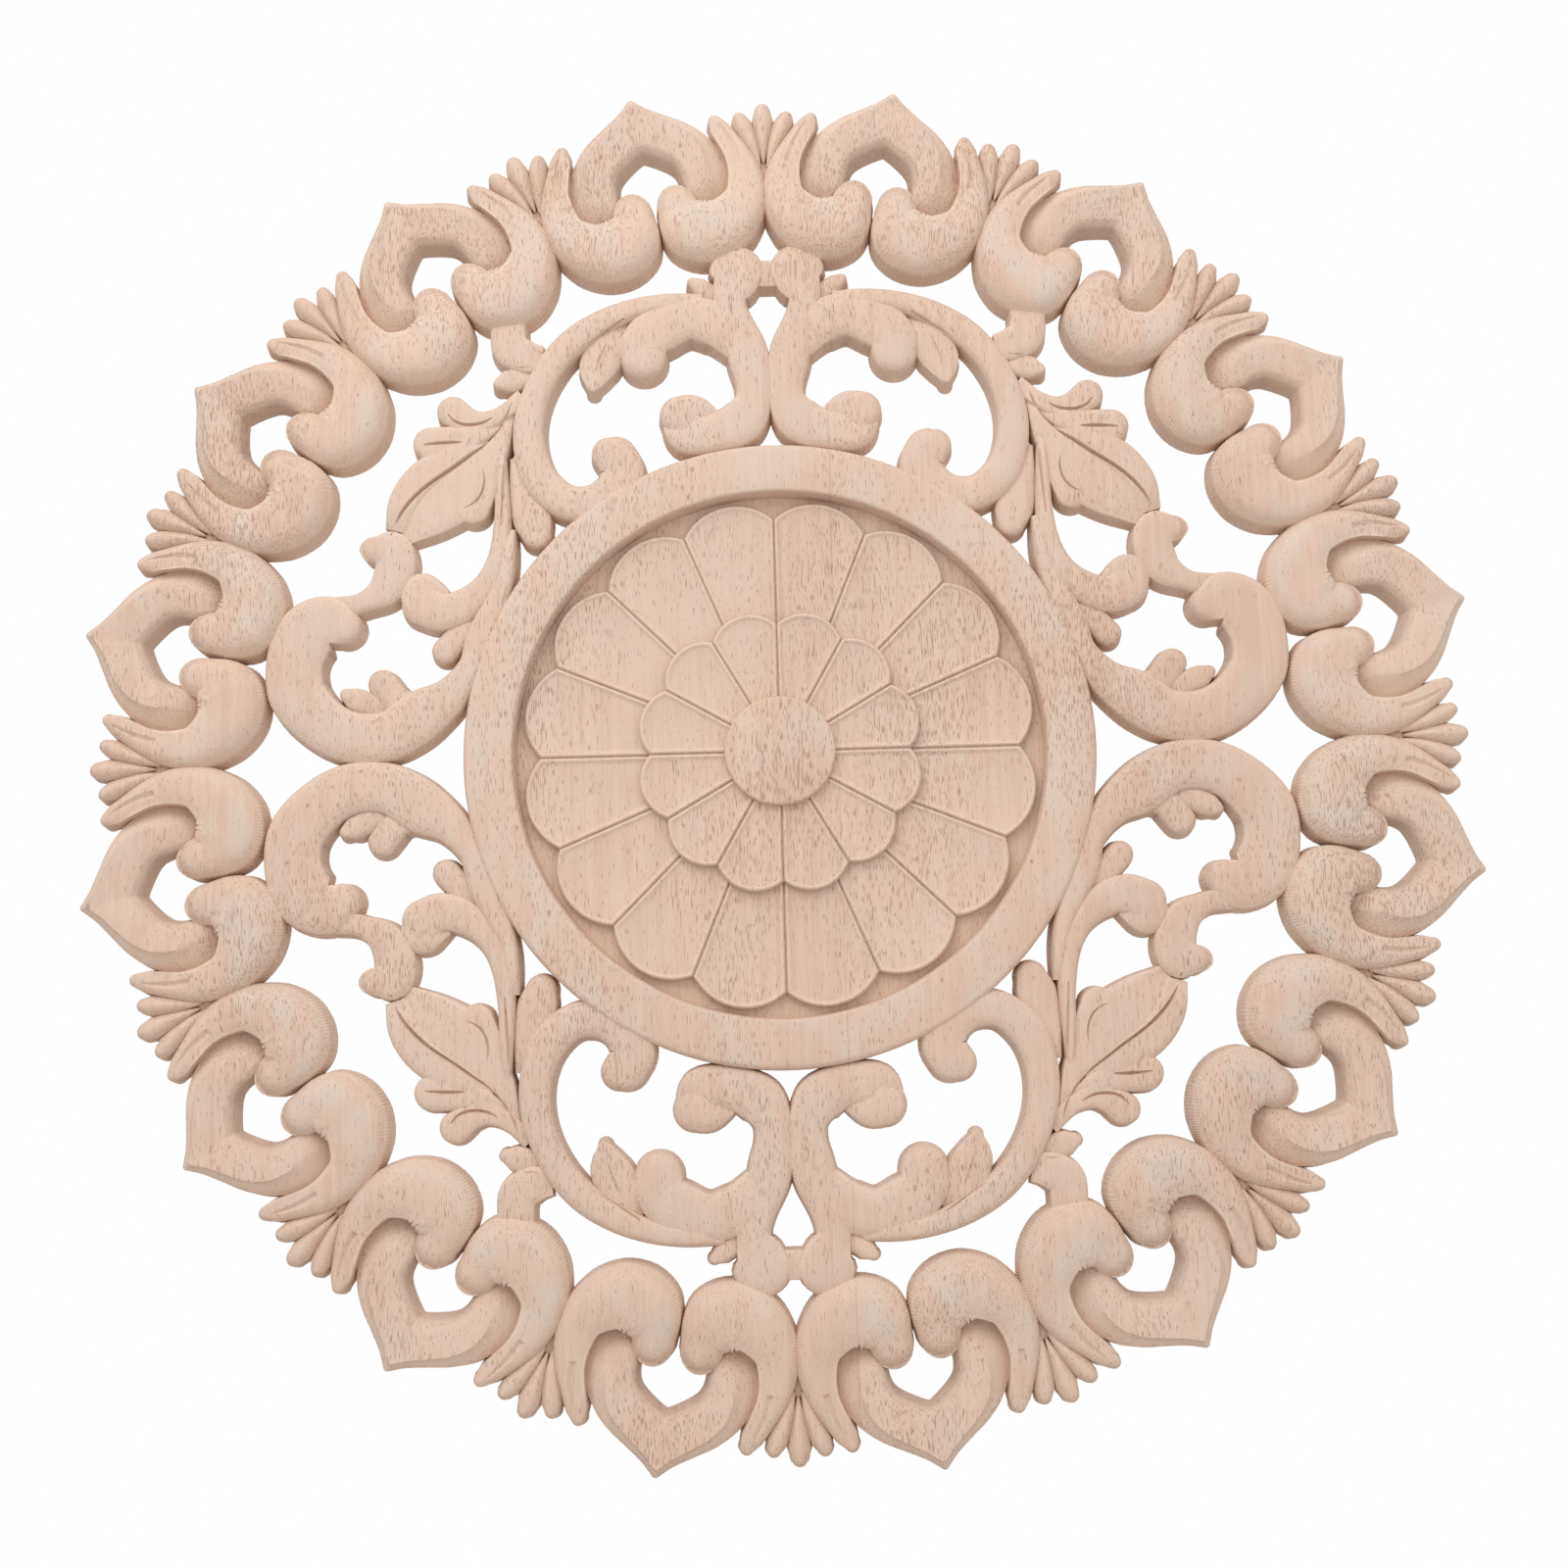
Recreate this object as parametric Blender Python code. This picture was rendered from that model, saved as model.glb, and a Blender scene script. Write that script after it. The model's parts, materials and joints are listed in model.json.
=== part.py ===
"""Carved wooden wall rosette, pierced and in one piece, 600 mm across its sixteen points.

The back lies in the plane y = 0, the carving faces -Y and +Z is up. The origin is the centre of
the back. A border of sixteen pointed arches with scrolls and fans surrounds scrollwork that is
mirrored in four quarters, and a flat ring holds a double flower with a button.
"""

import bmesh
import bpy
import math

# Millimetres to metres, for the outlines below
MM = 0.001

# Sizes of the whole, in metres
TIP_RADIUS = 0.300
UNIT_COUNT = 16
UNIT_ANGLE = 2 * math.pi / UNIT_COUNT

# Heights above the back, in metres
SCROLL_EDGE = 0.0088
SCROLL_CREST = 0.0128
LEAF_EDGE = 0.0082
LEAF_CREST = 0.0116
BUD_EDGE = 0.0078
BUD_CREST = 0.0108
HEAD_EDGE = 0.0090
HEAD_RIM = 0.0105
HEAD_CREST = 0.0160
TAIL_CREST = 0.0118
ARCH_EDGE = 0.0085
ARCH_CREST = 0.0130
ARCH_END = 0.0072
ARCH_FALL = 0.0010
FAN_EDGE = 0.0078
FAN_CREST = 0.0118

# Ring, dish and flower in the middle, in metres
RING_OUTER = 0.1328
RING_INNER = 0.1120
RING_TOP = 0.0140
RING_EDGE = 0.0108
RING_ROUND = 0.0030
RING_LIP = 0.0014
RING_SLOPE = 0.0008
RING_SEGMENTS = 48
DISH_FLOOR = 0.0052
OUTER_PETALS = 16
OUTER_PETAL_START = 0.0400
OUTER_PETAL_VALLEY = 0.0990
OUTER_PETAL_REACH = 0.1090
OUTER_PETAL_TOP = 0.0092
INNER_PETALS = 12
INNER_PETAL_START = 0.0160
INNER_PETAL_VALLEY = 0.0545
INNER_PETAL_REACH = 0.0606
INNER_PETAL_TOP = 0.0112
PETAL_ROUND = 0.0014
PETAL_GROOVE = 0.0006
PETAL_END_SHARES = (0.44, 0.79, 0.985)
BUTTON_RADIUS = 0.0233
BUTTON_TOP = 0.0132
BUTTON_ROUND = 0.0016
BUTTON_SEGMENTS = 32

# How finely a curve is cut into straight lengths
TURN_PER_LENGTH = math.radians(24)
LONGEST_LENGTH = 0.060
FINE_STEPS = 14
CAP_ANGLES = (math.radians(38), math.radians(76))

# Share of the triangles that is kept once the shapes are one solid, and a length that counts as none
KEPT_SHARE = 0.218
NO_LENGTH = 0.000005

# Shares of the half width taken by the flat top, either side of the middle: bands, arches, fans, petals
FLAT_SHARE = 0.5
ARCH_FLAT = 0.4
FAN_FLAT = 0.3
OUTER_PETAL_FLAT = 0.84
INNER_PETAL_FLAT = 0.8

# Largest share of a bend's radius that a band reaches in towards the bend's centre
BEND_SHARE = 0.92

# Difference in height that keeps the tops of crossing bands apart
STEP = 0.0001

# Border, for one half of a unit. A point is (across, out from the centre, half width, crest height).
SCROLL_HEAD = [
    (10.0, 245.6, 9.8, HEAD_CREST * 0.86),
    (10.6, 238.8, 11.4, HEAD_CREST * 0.95),
    (11.8, 235.8, 13.0, HEAD_CREST * 0.98),
    (14.0, 233.2, 14.4, HEAD_CREST),
    (18.8, 231.2, 15.2, HEAD_CREST),
    (25.0, 230.8, 14.6, HEAD_CREST),
    (32.2, 233.8, 13.0, HEAD_CREST),
    (39.7, 242.0, 10.4, HEAD_CREST * 0.93),
    (42.0, 252.0, 8.6, HEAD_CREST * 0.85),
    (41.2, 262.0, 6.9, TAIL_CREST * 1.06),
    (38.2, 271.0, 5.9, TAIL_CREST),
    (35.1, 279.0, 5.5, TAIL_CREST * 0.95),
]

# Arch leg, as pairs of points on its outer and inner edge with the crest height between them
ARCH_LEG = [
    ((0.0, 300.0), (0.0, 272.0), ARCH_CREST * 0.95),
    ((6.0, 294.2), (4.8, 269.2), ARCH_CREST),
    ((14.0, 289.0), (9.3, 265.9), ARCH_CREST),
    ((22.0, 284.0), (12.0, 262.9), ARCH_CREST),
    ((29.2, 277.3), (13.1, 259.0), ARCH_CREST * 0.96),
    ((35.0, 267.5), (13.2, 254.8), ARCH_CREST * 0.84),
    ((37.0, 256.0), (14.8, 248.5), ARCH_CREST * 0.68),
    ((32.0, 243.0), (20.5, 240.0), ARCH_END),
]

# Fan between two units: the middle petal and the one beside it
FAN_MIDDLE = [
    (0.0, 263.0, 1.2, FAN_CREST),
    (0.0, 272.0, 3.2, FAN_CREST),
    (0.0, 285.6, 5.6, FAN_CREST),
]
FAN_SIDE = [
    (2.0, 261.0, 1.6, FAN_CREST),
    (4.8, 270.5, 3.6, FAN_CREST),
    (9.6, 282.2, 5.0, FAN_CREST),
]

# Scrollwork of one quarter. A point is (right, up, half width).
UPRIGHT_SCROLL = [
    (39.6, 146.0, 8.6),
    (35.8, 139.2, 9.6),
    (22.5, 139.8, 9.8),
    (12.4, 144.6, 11.0),
    (7.6, 152.6, 9.0),
    (7.0, 161.0, 8.6),
    (8.2, 170.0, 9.8),
    (10.0, 178.0, 9.7),
    (14.4, 190.0, 8.3),
    (16.2, 199.5, 8.0),
    (13.8, 207.0, 10.8),
    (13.2, 211.8, 12.8),
]
UPRIGHT_CURL = [
    (27.0, 143.2, 8.6),
    (33.8, 147.6, 10.0),
    (39.0, 147.8, 9.6),
]
SCROLL_BRIDGE = [(-6.0, 211.0, 6.8), (6.0, 211.0, 6.8)]
LEAF_LOBE = [
    (13.0, 178.0, 8.0),
    (22.0, 187.5, 11.0),
    (34.0, 191.2, 11.0),
    (46.4, 187.4, 12.2),
    (54.0, 180.4, 11.0),
    (54.2, 174.1, 10.8),
]
LEAFLET = [
    (62.0, 190.0, 5.0),
    (69.6, 180.0, 9.8),
    (74.2, 170.2, 9.4),
    (75.8, 163.4, 5.9),
]
LONG_ARM = [
    (28.0, 198.8, 4.4),
    (44.0, 198.4, 5.2),
    (58.0, 196.1, 5.6),
    (71.0, 190.9, 6.6),
    (83.7, 182.8, 7.2),
    (92.8, 173.2, 7.2),
    (100.2, 160.0, 7.2),
    (104.0, 146.0, 7.6),
    (103.4, 132.0, 8.0),
    (98.6, 119.5, 8.8),
    (88.0, 110.6, 8.6),
    (76.0, 109.8, 9.4),
    (66.8, 115.0, 10.8),
    (64.0, 124.0, 10.2),
    (66.8, 130.0, 10.0),
]
LONG_ARM_TIP = [
    (64.0, 123.0, 8.4),
    (70.0, 131.4, 8.2),
]
BORDER_KNOB = [
    (112.0, 197.0, 8.4),
    (112.6, 186.0, 8.6),
    (111.2, 179.6, 9.0),
    (105.0, 176.0, 8.2),
    (98.0, 175.0, 6.4),
]
SMALL_LEAFLET = [
    (102.0, 171.0, 3.6),
    (108.6, 166.8, 6.2),
    (114.4, 165.0, 6.0),
]
BUD = [
    (20.0, 200.0, 5.0),
    (26.8, 204.2, 5.1),
    (30.9, 206.8, 5.1),
]
LEAF_CURL = [
    (106.5, 158.5, 4.6),
    (115.5, 150.6, 4.6),
    (124.0, 147.0, 5.8),
    (131.0, 148.2, 6.8),
    (136.8, 152.2, 7.7),
]
LEAF_SHOULDER = [
    (116.0, 147.0, 3.0),
    (128.0, 140.6, 6.0),
    (140.0, 138.7, 7.8),
    (146.4, 138.0, 8.4),
]
LEAF_UPPER = [
    (122.0, 139.5, 2.4),
    (135.0, 132.8, 6.4),
    (149.0, 124.0, 8.2),
    (157.5, 113.0, 7.7),
    (161.6, 100.0, 5.2),
]
LEAF_LOWER = [
    (111.0, 152.0, 2.0),
    (118.5, 134.0, 6.4),
    (133.2, 118.2, 13.4),
    (146.4, 107.4, 11.4),
    (158.2, 98.0, 5.8),
]
LEAF_FOOT = [
    (118.0, 132.0, 3.2),
    (121.8, 119.0, 5.4),
    (128.2, 109.6, 8.4),
]
CONNECTOR = [
    (169.2, 91.8, 6.8),
    (163.0, 91.2, 9.4),
    (161.6, 83.6, 9.6),
    (166.0, 74.2, 8.2),
    (175.4, 68.8, 5.5),
    (187.0, 66.0, 6.6),
]
STEM = [
    (115.8, 136.0, 2.2),
    (115.8, 118.0, 3.9),
    (115.8, 102.0, 4.6),
    (118.0, 86.0, 5.4),
    (123.8, 74.2, 6.4),
    (133.5, 66.0, 8.2),
    (142.6, 64.0, 9.2),
    (149.8, 67.2, 10.0),
]
STEM_CURL = [
    (144.4, 66.4, 9.4),
    (150.2, 71.8, 10.2),
]
SIDE_SCROLL = [
    (112.2, 99.0, 2.8),
    (113.2, 86.0, 4.0),
    (115.2, 76.0, 4.8),
    (119.8, 65.0, 6.4),
    (125.4, 52.4, 7.2),
    (129.6, 40.0, 6.4),
    (138.8, 27.4, 8.9),
    (151.0, 19.2, 12.3),
    (163.5, 11.6, 11.8),
    (178.0, 10.6, 11.9),
    (191.0, 16.2, 12.2),
    (202.4, 29.2, 13.2),
    (204.0, 43.0, 13.1),
    (199.4, 55.2, 14.0),
    (190.4, 60.8, 12.3),
    (183.2, 58.5, 8.6),
]
SIDE_NUB = [
    (150.0, 24.4, 5.4),
    (160.0, 25.6, 7.2),
    (167.0, 33.6, 7.2),
]
SIDE_LEAFLET = [
    (164.0, 20.6, 2.6),
    (173.2, 24.9, 5.9),
    (180.6, 28.3, 5.8),
]
HANGING_LEAFLET = [
    (127.0, 63.0, 1.6),
    (134.3, 54.4, 6.0),
    (140.6, 47.3, 6.6),
]
DROP_LEAF = [
    (111.0, 131.0, 2.4),
    (108.2, 116.0, 5.6),
    (103.4, 104.0, 9.2),
    (101.4, 96.8, 7.2),
]


def blend(a, b, c, d, t0, t1, t2, t3, t):
    """Value at t between b and c of the smooth curve through four values at t0 to t3."""
    slope_b = (c - a) / (t2 - t0)
    slope_c = (d - b) / (t3 - t1)
    span = t2 - t1
    s = (t - t1) / span
    rise = slope_b * span * (s ** 3 - 2 * s ** 2 + s) + slope_c * span * (s ** 3 - s ** 2)
    return b * (2 * s ** 3 - 3 * s ** 2 + 1) + c * (3 * s ** 2 - 2 * s ** 3) + rise


def smooth(rows, steps):
    """The rows of numbers with more rows between them, on a smooth curve, placed by chord length."""
    places = [0.0]
    for first, second in zip(rows, rows[1:]):
        places.append(places[-1] + max(math.dist(first[:2], second[:2]), 1e-6))
    count = len(rows)
    lead = 2 * places[0] - places[1]
    trail = 2 * places[-1] - places[-2]
    result = []
    for k in range(count - 1):
        before = rows[k - 1] if k else [2 * p - q for p, q in zip(rows[0], rows[1])]
        after = rows[k + 2] if k + 2 < count else [2 * q - p for p, q in zip(rows[k], rows[k + 1])]
        t0 = places[k - 1] if k else lead
        t3 = places[k + 2] if k + 2 < count else trail
        for i in range(steps):
            t = places[k] + (places[k + 1] - places[k]) * i / steps
            quads = zip(before, rows[k], rows[k + 1], after)
            result.append([blend(*four, t0, places[k], places[k + 1], t3, t) for four in quads])
    result.append(list(rows[-1]))
    return result


def turns(rows):
    """Angle turned through at each row of a path."""
    found = [0.0]
    for a, b, c in zip(rows, rows[1:], rows[2:]):
        first = math.atan2(b[1] - a[1], b[0] - a[0])
        second = math.atan2(c[1] - b[1], c[0] - b[0])
        found.append((second - first + math.pi) % (2 * math.pi) - math.pi)
    found.append(0.0)
    return found


def stations(rows):
    """Rows picked from a smooth path so that no length turns or runs too far."""
    fine = smooth(rows, FINE_STEPS)
    bends = turns(fine)
    cost = [0.0]
    for k in range(1, len(fine)):
        run = math.dist(fine[k - 1][:2], fine[k][:2])
        bend = (abs(bends[k - 1]) + abs(bends[k])) / 2
        cost.append(cost[-1] + bend / TURN_PER_LENGTH + run / LONGEST_LENGTH)
    lengths = max(1, math.ceil(cost[-1]))
    picked = []
    for i in range(lengths + 1):
        goal = cost[-1] * i / lengths
        k = min(range(len(cost)), key=lambda n: abs(cost[n] - goal))
        if not picked or k > picked[-1]:
            picked.append(k)
    result = []
    for k in picked:
        a = fine[max(k - 1, 0)]
        b = fine[min(k + 1, len(fine) - 1)]
        run = math.dist(a[:2], b[:2])
        heading = ((b[0] - a[0]) / run, (b[1] - a[1]) / run)
        bend = bends[k] / max(run / 2, 1e-9)
        result.append((fine[k], heading, bend))
    return result


def cap(row, heading, backward):
    """Sections that round off the end of a band."""
    sign = -1 if backward else 1
    result = []
    for angle in CAP_ANGLES:
        reach = sign * row[2] * math.sin(angle)
        x = row[0] + heading[0] * reach
        z = row[1] + heading[1] * reach
        fall = row[4] + (row[3] - row[4]) * math.cos(angle)
        result.append(([x, z, row[2] * math.cos(angle), fall, row[4], row[5]], heading, 0.0))
    return result[::-1] if backward else result


def band_sections(points, edge, rim=None, crest=None, caps=(False, True)):
    """Sections (left edge, right edge, left, crest and right height) of a band along a path."""
    rim = edge if rim is None else rim
    rows = []
    for point in points:
        height = point[3] if len(point) > 3 else crest
        rows.append([point[0] * MM, point[1] * MM, point[2] * MM, height, edge, rim])
    line = stations(rows)
    if caps[0]:
        line = cap(line[0][0], line[0][1], True) + line
    if caps[1]:
        line = line + cap(line[-1][0], line[-1][1], False)
    sections = []
    for row, heading, bend in line:
        left = row[2] if bend <= 0 else min(row[2], BEND_SHARE / bend)
        right = row[2] if bend >= 0 else min(row[2], -BEND_SHARE / bend)
        across = (-heading[1], heading[0])
        a = (row[0] + across[0] * left, row[1] + across[1] * left)
        b = (row[0] - across[0] * right, row[1] - across[1] * right)
        sections.append((a, b, row[5], row[3], row[4]))
    return sections


def arch_sections():
    """Sections of a whole arch, from the pairs of edge points of one leg."""
    leg = []
    for outer, inner, height in ARCH_LEG:
        side = min(ARCH_EDGE, height - ARCH_FALL)
        pair = [(outer[0] * MM, outer[1] * MM), (inner[0] * MM, inner[1] * MM)]
        leg.append((pair[0], pair[1], side, height, side))
    other = [((-a[0], a[1]), (-b[0], b[1]), *levels) for a, b, *levels in leg[:0:-1]]
    return other + leg


def turned(point, angle, mirrored):
    x = -point[0] if mirrored else point[0]
    return (
        x * math.cos(angle) + point[1] * math.sin(angle),
        point[1] * math.cos(angle) - x * math.sin(angle),
    )


def add_solid(bm, sections, angle=0.0, mirrored=False, flip=False, flat=FLAT_SHARE):
    """A closed solid on the back plane: a grid of sections is laid flat, extruded and raised."""
    shares = (-1.0, -flat, flat, 1.0)
    made = bmesh.ops.create_grid(bm, x_segments=len(sections) - 1, y_segments=3, size=1)
    grid = made["verts"]
    heights = {}
    for vert in grid:
        i = round((vert.co.x + 1) / 2 * (len(sections) - 1))
        j = round((vert.co.y + 1) / 2 * 3)
        a, b, left, crest, right = sections[i]
        share = (shares[j] + 1) / 2
        x, z = turned((a[0] + (b[0] - a[0]) * share, a[1] + (b[1] - a[1]) * share), angle, mirrored)
        vert.co = (x, 0, -z if flip else z)
        heights[vert] = (left, crest, crest, right)[j]
    levels = [heights[vert] for vert in grid]
    places = {tuple(vert.co): level for vert, level in zip(grid, levels)}
    faces = list({face for vert in grid for face in vert.link_faces})
    raised = bmesh.ops.extrude_face_region(bm, geom=faces)
    for item in raised["geom"]:
        if isinstance(item, bmesh.types.BMVert):
            item.co.y = -places[tuple(item.co)]


def add_quarters(bm, points, edge, crest, caps=(False, True)):
    """The same band in all four quarters."""
    sections = band_sections(points, edge, crest=crest, caps=caps)
    for mirrored in (False, True):
        for flip in (False, True):
            add_solid(bm, sections, mirrored=mirrored, flip=flip)


def add_border(bm):
    head = band_sections(SCROLL_HEAD, HEAD_EDGE, rim=HEAD_RIM, caps=(True, True))
    arch = arch_sections()
    middle = band_sections(FAN_MIDDLE, FAN_EDGE)
    side = band_sections(FAN_SIDE, FAN_EDGE)
    for k in range(UNIT_COUNT):
        centre = UNIT_ANGLE * (k + 0.5)
        add_solid(bm, arch, centre, flat=ARCH_FLAT)
        for mirrored in (False, True):
            add_solid(bm, head, centre, mirrored)
            add_solid(bm, side, UNIT_ANGLE * k, mirrored, flat=FAN_FLAT)
        add_solid(bm, middle, UNIT_ANGLE * k, flat=FAN_FLAT)


def add_scrollwork(bm):
    add_quarters(bm, UPRIGHT_SCROLL, SCROLL_EDGE, SCROLL_CREST)
    add_quarters(bm, UPRIGHT_CURL, SCROLL_EDGE, SCROLL_CREST - STEP)
    add_quarters(bm, LEAF_LOBE, SCROLL_EDGE, SCROLL_CREST + 4 * STEP)
    add_quarters(bm, LONG_ARM, SCROLL_EDGE, SCROLL_CREST + 2 * STEP)
    add_quarters(bm, LONG_ARM_TIP, SCROLL_EDGE, SCROLL_CREST - 3 * STEP)
    add_quarters(bm, CONNECTOR, SCROLL_EDGE, SCROLL_CREST - 4 * STEP, caps=(True, False))
    add_quarters(bm, STEM, SCROLL_EDGE, SCROLL_CREST - 2 * STEP)
    add_quarters(bm, STEM_CURL, SCROLL_EDGE, SCROLL_CREST - 3 * STEP)
    add_quarters(bm, SIDE_SCROLL, SCROLL_EDGE, SCROLL_CREST + 3 * STEP)
    add_quarters(bm, BORDER_KNOB, SCROLL_EDGE, SCROLL_CREST - 6 * STEP, caps=(False, False))
    add_quarters(bm, LEAF_CURL, LEAF_EDGE, LEAF_CREST)
    add_quarters(bm, LEAF_SHOULDER, LEAF_EDGE, LEAF_CREST + 2 * STEP)
    add_quarters(bm, LEAF_UPPER, LEAF_EDGE, LEAF_CREST + 4 * STEP, caps=(False, False))
    add_quarters(bm, LEAF_LOWER, LEAF_EDGE, LEAF_CREST - 2 * STEP, caps=(False, False))
    add_quarters(bm, LEAF_FOOT, LEAF_EDGE, LEAF_CREST - 4 * STEP)
    for points in (LEAFLET, SMALL_LEAFLET, BUD, SIDE_NUB, SIDE_LEAFLET, HANGING_LEAFLET, DROP_LEAF):
        add_quarters(bm, points, BUD_EDGE, BUD_CREST)
    bridge = band_sections(SCROLL_BRIDGE, SCROLL_EDGE, crest=SCROLL_CREST - 8 * STEP, caps=(False, False))
    for flip in (False, True):
        add_solid(bm, bridge, flip=flip)


def petal_sections(count, start, valley, reach, top):
    """Sections of a petal: straight sides to the valley, then a round end."""
    half = valley * math.tan(math.pi / count)
    rise = reach - valley
    radius = (half ** 2 + rise ** 2) / (2 * rise)
    edge = top - PETAL_ROUND
    rows = [(start, start * math.tan(math.pi / count)), (valley, half)]
    for share in PETAL_END_SHARES:
        out = valley + rise * share
        rows.append((out, math.sqrt(radius ** 2 - (out - reach + radius) ** 2)))
    sections = []
    for out, width in rows:
        width -= PETAL_GROOVE
        sections.append(((-width, out), (width, out), edge, top, edge))
    return sections


def add_flower(bm):
    outer = petal_sections(
        OUTER_PETALS, OUTER_PETAL_START, OUTER_PETAL_VALLEY, OUTER_PETAL_REACH, OUTER_PETAL_TOP
    )
    inner = petal_sections(
        INNER_PETALS, INNER_PETAL_START, INNER_PETAL_VALLEY, INNER_PETAL_REACH, INNER_PETAL_TOP
    )
    for k in range(OUTER_PETALS):
        add_solid(bm, outer, 2 * math.pi * (k + 0.5) / OUTER_PETALS, flat=OUTER_PETAL_FLAT)
    for k in range(INNER_PETALS):
        add_solid(bm, inner, 2 * math.pi * (k + 0.5) / INNER_PETALS, flat=INNER_PETAL_FLAT)


def lathe(bm, profile, segments):
    """A solid turned about the Y axis from (radius, height) points, closed on the axis."""
    verts = [bm.verts.new((radius, -height, 0)) for radius, height in profile]
    edges = [bm.edges.new(pair) for pair in zip(verts, verts[1:])]
    bmesh.ops.spin(
        bm, geom=verts + edges, cent=(0, 0, 0), axis=(0, 1, 0), angle=2 * math.pi,
        steps=segments, use_merge=True,
    )
    bmesh.ops.remove_doubles(bm, verts=bm.verts, dist=1e-7)


def ring_profile():
    return [
        (0, 0),
        (RING_OUTER, 0),
        (RING_OUTER, RING_EDGE),
        (RING_OUTER - RING_ROUND, RING_TOP),
        (RING_INNER + RING_ROUND, RING_TOP),
        (RING_INNER, RING_TOP - RING_LIP),
        (RING_INNER - RING_SLOPE, DISH_FLOOR),
        (0, DISH_FLOOR),
    ]


def button_profile():
    return [
        (0, 0),
        (BUTTON_RADIUS, 0),
        (BUTTON_RADIUS, BUTTON_TOP - BUTTON_ROUND),
        (BUTTON_RADIUS - BUTTON_ROUND, BUTTON_TOP),
        (0, BUTTON_TOP),
    ]


def new_object(name, build):
    bm = bmesh.new()
    build(bm)
    bmesh.ops.recalc_face_normals(bm, faces=bm.faces)
    mesh = bpy.data.meshes.new(name)
    bm.to_mesh(mesh)
    bm.free()
    made = bpy.data.objects.new(name, mesh)
    bpy.context.scene.collection.objects.link(made)
    return made


def wood():
    material = bpy.data.materials.new("pale hardwood")
    material.use_nodes = True
    shader = material.node_tree.nodes["Principled BSDF"]
    shader.inputs["Base Color"].default_value = (0.73, 0.54, 0.42, 1)
    shader.inputs["Roughness"].default_value = 0.6
    return material


def helper(made):
    made.hide_render = True
    made.display_type = "WIRE"
    return made


def joined(made):
    """Puts the union into the mesh itself, in triangles and without those that have no area."""
    bpy.context.view_layer.update()
    graph = bpy.context.evaluated_depsgraph_get()
    mesh = bpy.data.meshes.new_from_object(made.evaluated_get(graph))
    made.modifiers.clear()
    bm = bmesh.new()
    bm.from_mesh(mesh)
    bmesh.ops.triangulate(bm, faces=bm.faces, ngon_method="BEAUTY")
    bmesh.ops.dissolve_degenerate(bm, dist=NO_LENGTH, edges=bm.edges)
    bmesh.ops.triangulate(bm, faces=bm.faces, ngon_method="BEAUTY")
    bm.to_mesh(mesh)
    bm.free()
    made.data = mesh


def carve(bm):
    lathe(bm, button_profile(), BUTTON_SEGMENTS)
    add_border(bm)
    add_scrollwork(bm)
    add_flower(bm)


for old in list(bpy.data.objects):
    bpy.data.objects.remove(old)

rosette = new_object("rosette", lambda bm: lathe(bm, ring_profile(), RING_SEGMENTS))
rosette.data.materials.append(wood())
carving = helper(new_object("carving_shapes", carve))
union = rosette.modifiers.new("one solid", "BOOLEAN")
union.operation = "UNION"
union.solver = "EXACT"
union.use_self = True
union.object = carving
joined(rosette)
fewer = rosette.modifiers.new("fewer triangles", "DECIMATE")
fewer.decimate_type = "COLLAPSE"
fewer.ratio = KEPT_SHARE
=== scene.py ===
"""The looks of the carved wooden rosette: fine carving, bare wood, soft studio light and the camera."""

import bmesh
import bpy
import json
import math
from mathutils import Euler, Matrix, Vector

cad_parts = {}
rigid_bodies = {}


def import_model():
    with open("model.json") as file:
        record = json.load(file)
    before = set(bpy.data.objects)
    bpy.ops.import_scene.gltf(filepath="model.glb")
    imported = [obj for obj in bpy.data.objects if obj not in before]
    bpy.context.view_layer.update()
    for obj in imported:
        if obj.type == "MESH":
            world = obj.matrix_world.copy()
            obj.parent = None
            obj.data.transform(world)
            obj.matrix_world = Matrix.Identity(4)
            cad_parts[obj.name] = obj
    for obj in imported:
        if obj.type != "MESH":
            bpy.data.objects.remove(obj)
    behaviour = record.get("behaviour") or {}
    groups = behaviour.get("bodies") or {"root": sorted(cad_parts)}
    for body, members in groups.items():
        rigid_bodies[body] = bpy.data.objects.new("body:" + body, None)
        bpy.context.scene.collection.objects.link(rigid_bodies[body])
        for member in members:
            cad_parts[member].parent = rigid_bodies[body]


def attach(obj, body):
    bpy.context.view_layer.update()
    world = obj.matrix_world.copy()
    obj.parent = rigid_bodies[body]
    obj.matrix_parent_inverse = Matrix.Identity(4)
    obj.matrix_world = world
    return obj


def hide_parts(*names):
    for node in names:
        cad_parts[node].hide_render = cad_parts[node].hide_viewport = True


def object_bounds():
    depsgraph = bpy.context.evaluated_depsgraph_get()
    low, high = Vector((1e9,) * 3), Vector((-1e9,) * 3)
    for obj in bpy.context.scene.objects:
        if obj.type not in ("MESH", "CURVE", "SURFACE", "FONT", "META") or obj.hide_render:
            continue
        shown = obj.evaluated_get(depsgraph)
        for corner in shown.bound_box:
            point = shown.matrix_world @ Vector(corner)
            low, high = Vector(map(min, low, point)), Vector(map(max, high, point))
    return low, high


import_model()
solid_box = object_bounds()

MM = 0.001

# Arches of the border
ARCH_COUNT = 16

# Heights above the back, in metres
SCROLL_EDGE = 0.0100
SCROLL_CREST = 0.0128
LEAF_EDGE = 0.0096
LEAF_CREST = 0.0117
BUD_EDGE = 0.0086
BUD_CREST = 0.0110
HEAD_EDGE = 0.0088
HEAD_RIM = 0.0122
HEAD_CREST = 0.0160
TAIL_CREST = 0.0120
FAN_EDGE = 0.0082
FAN_CREST = 0.0118

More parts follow.
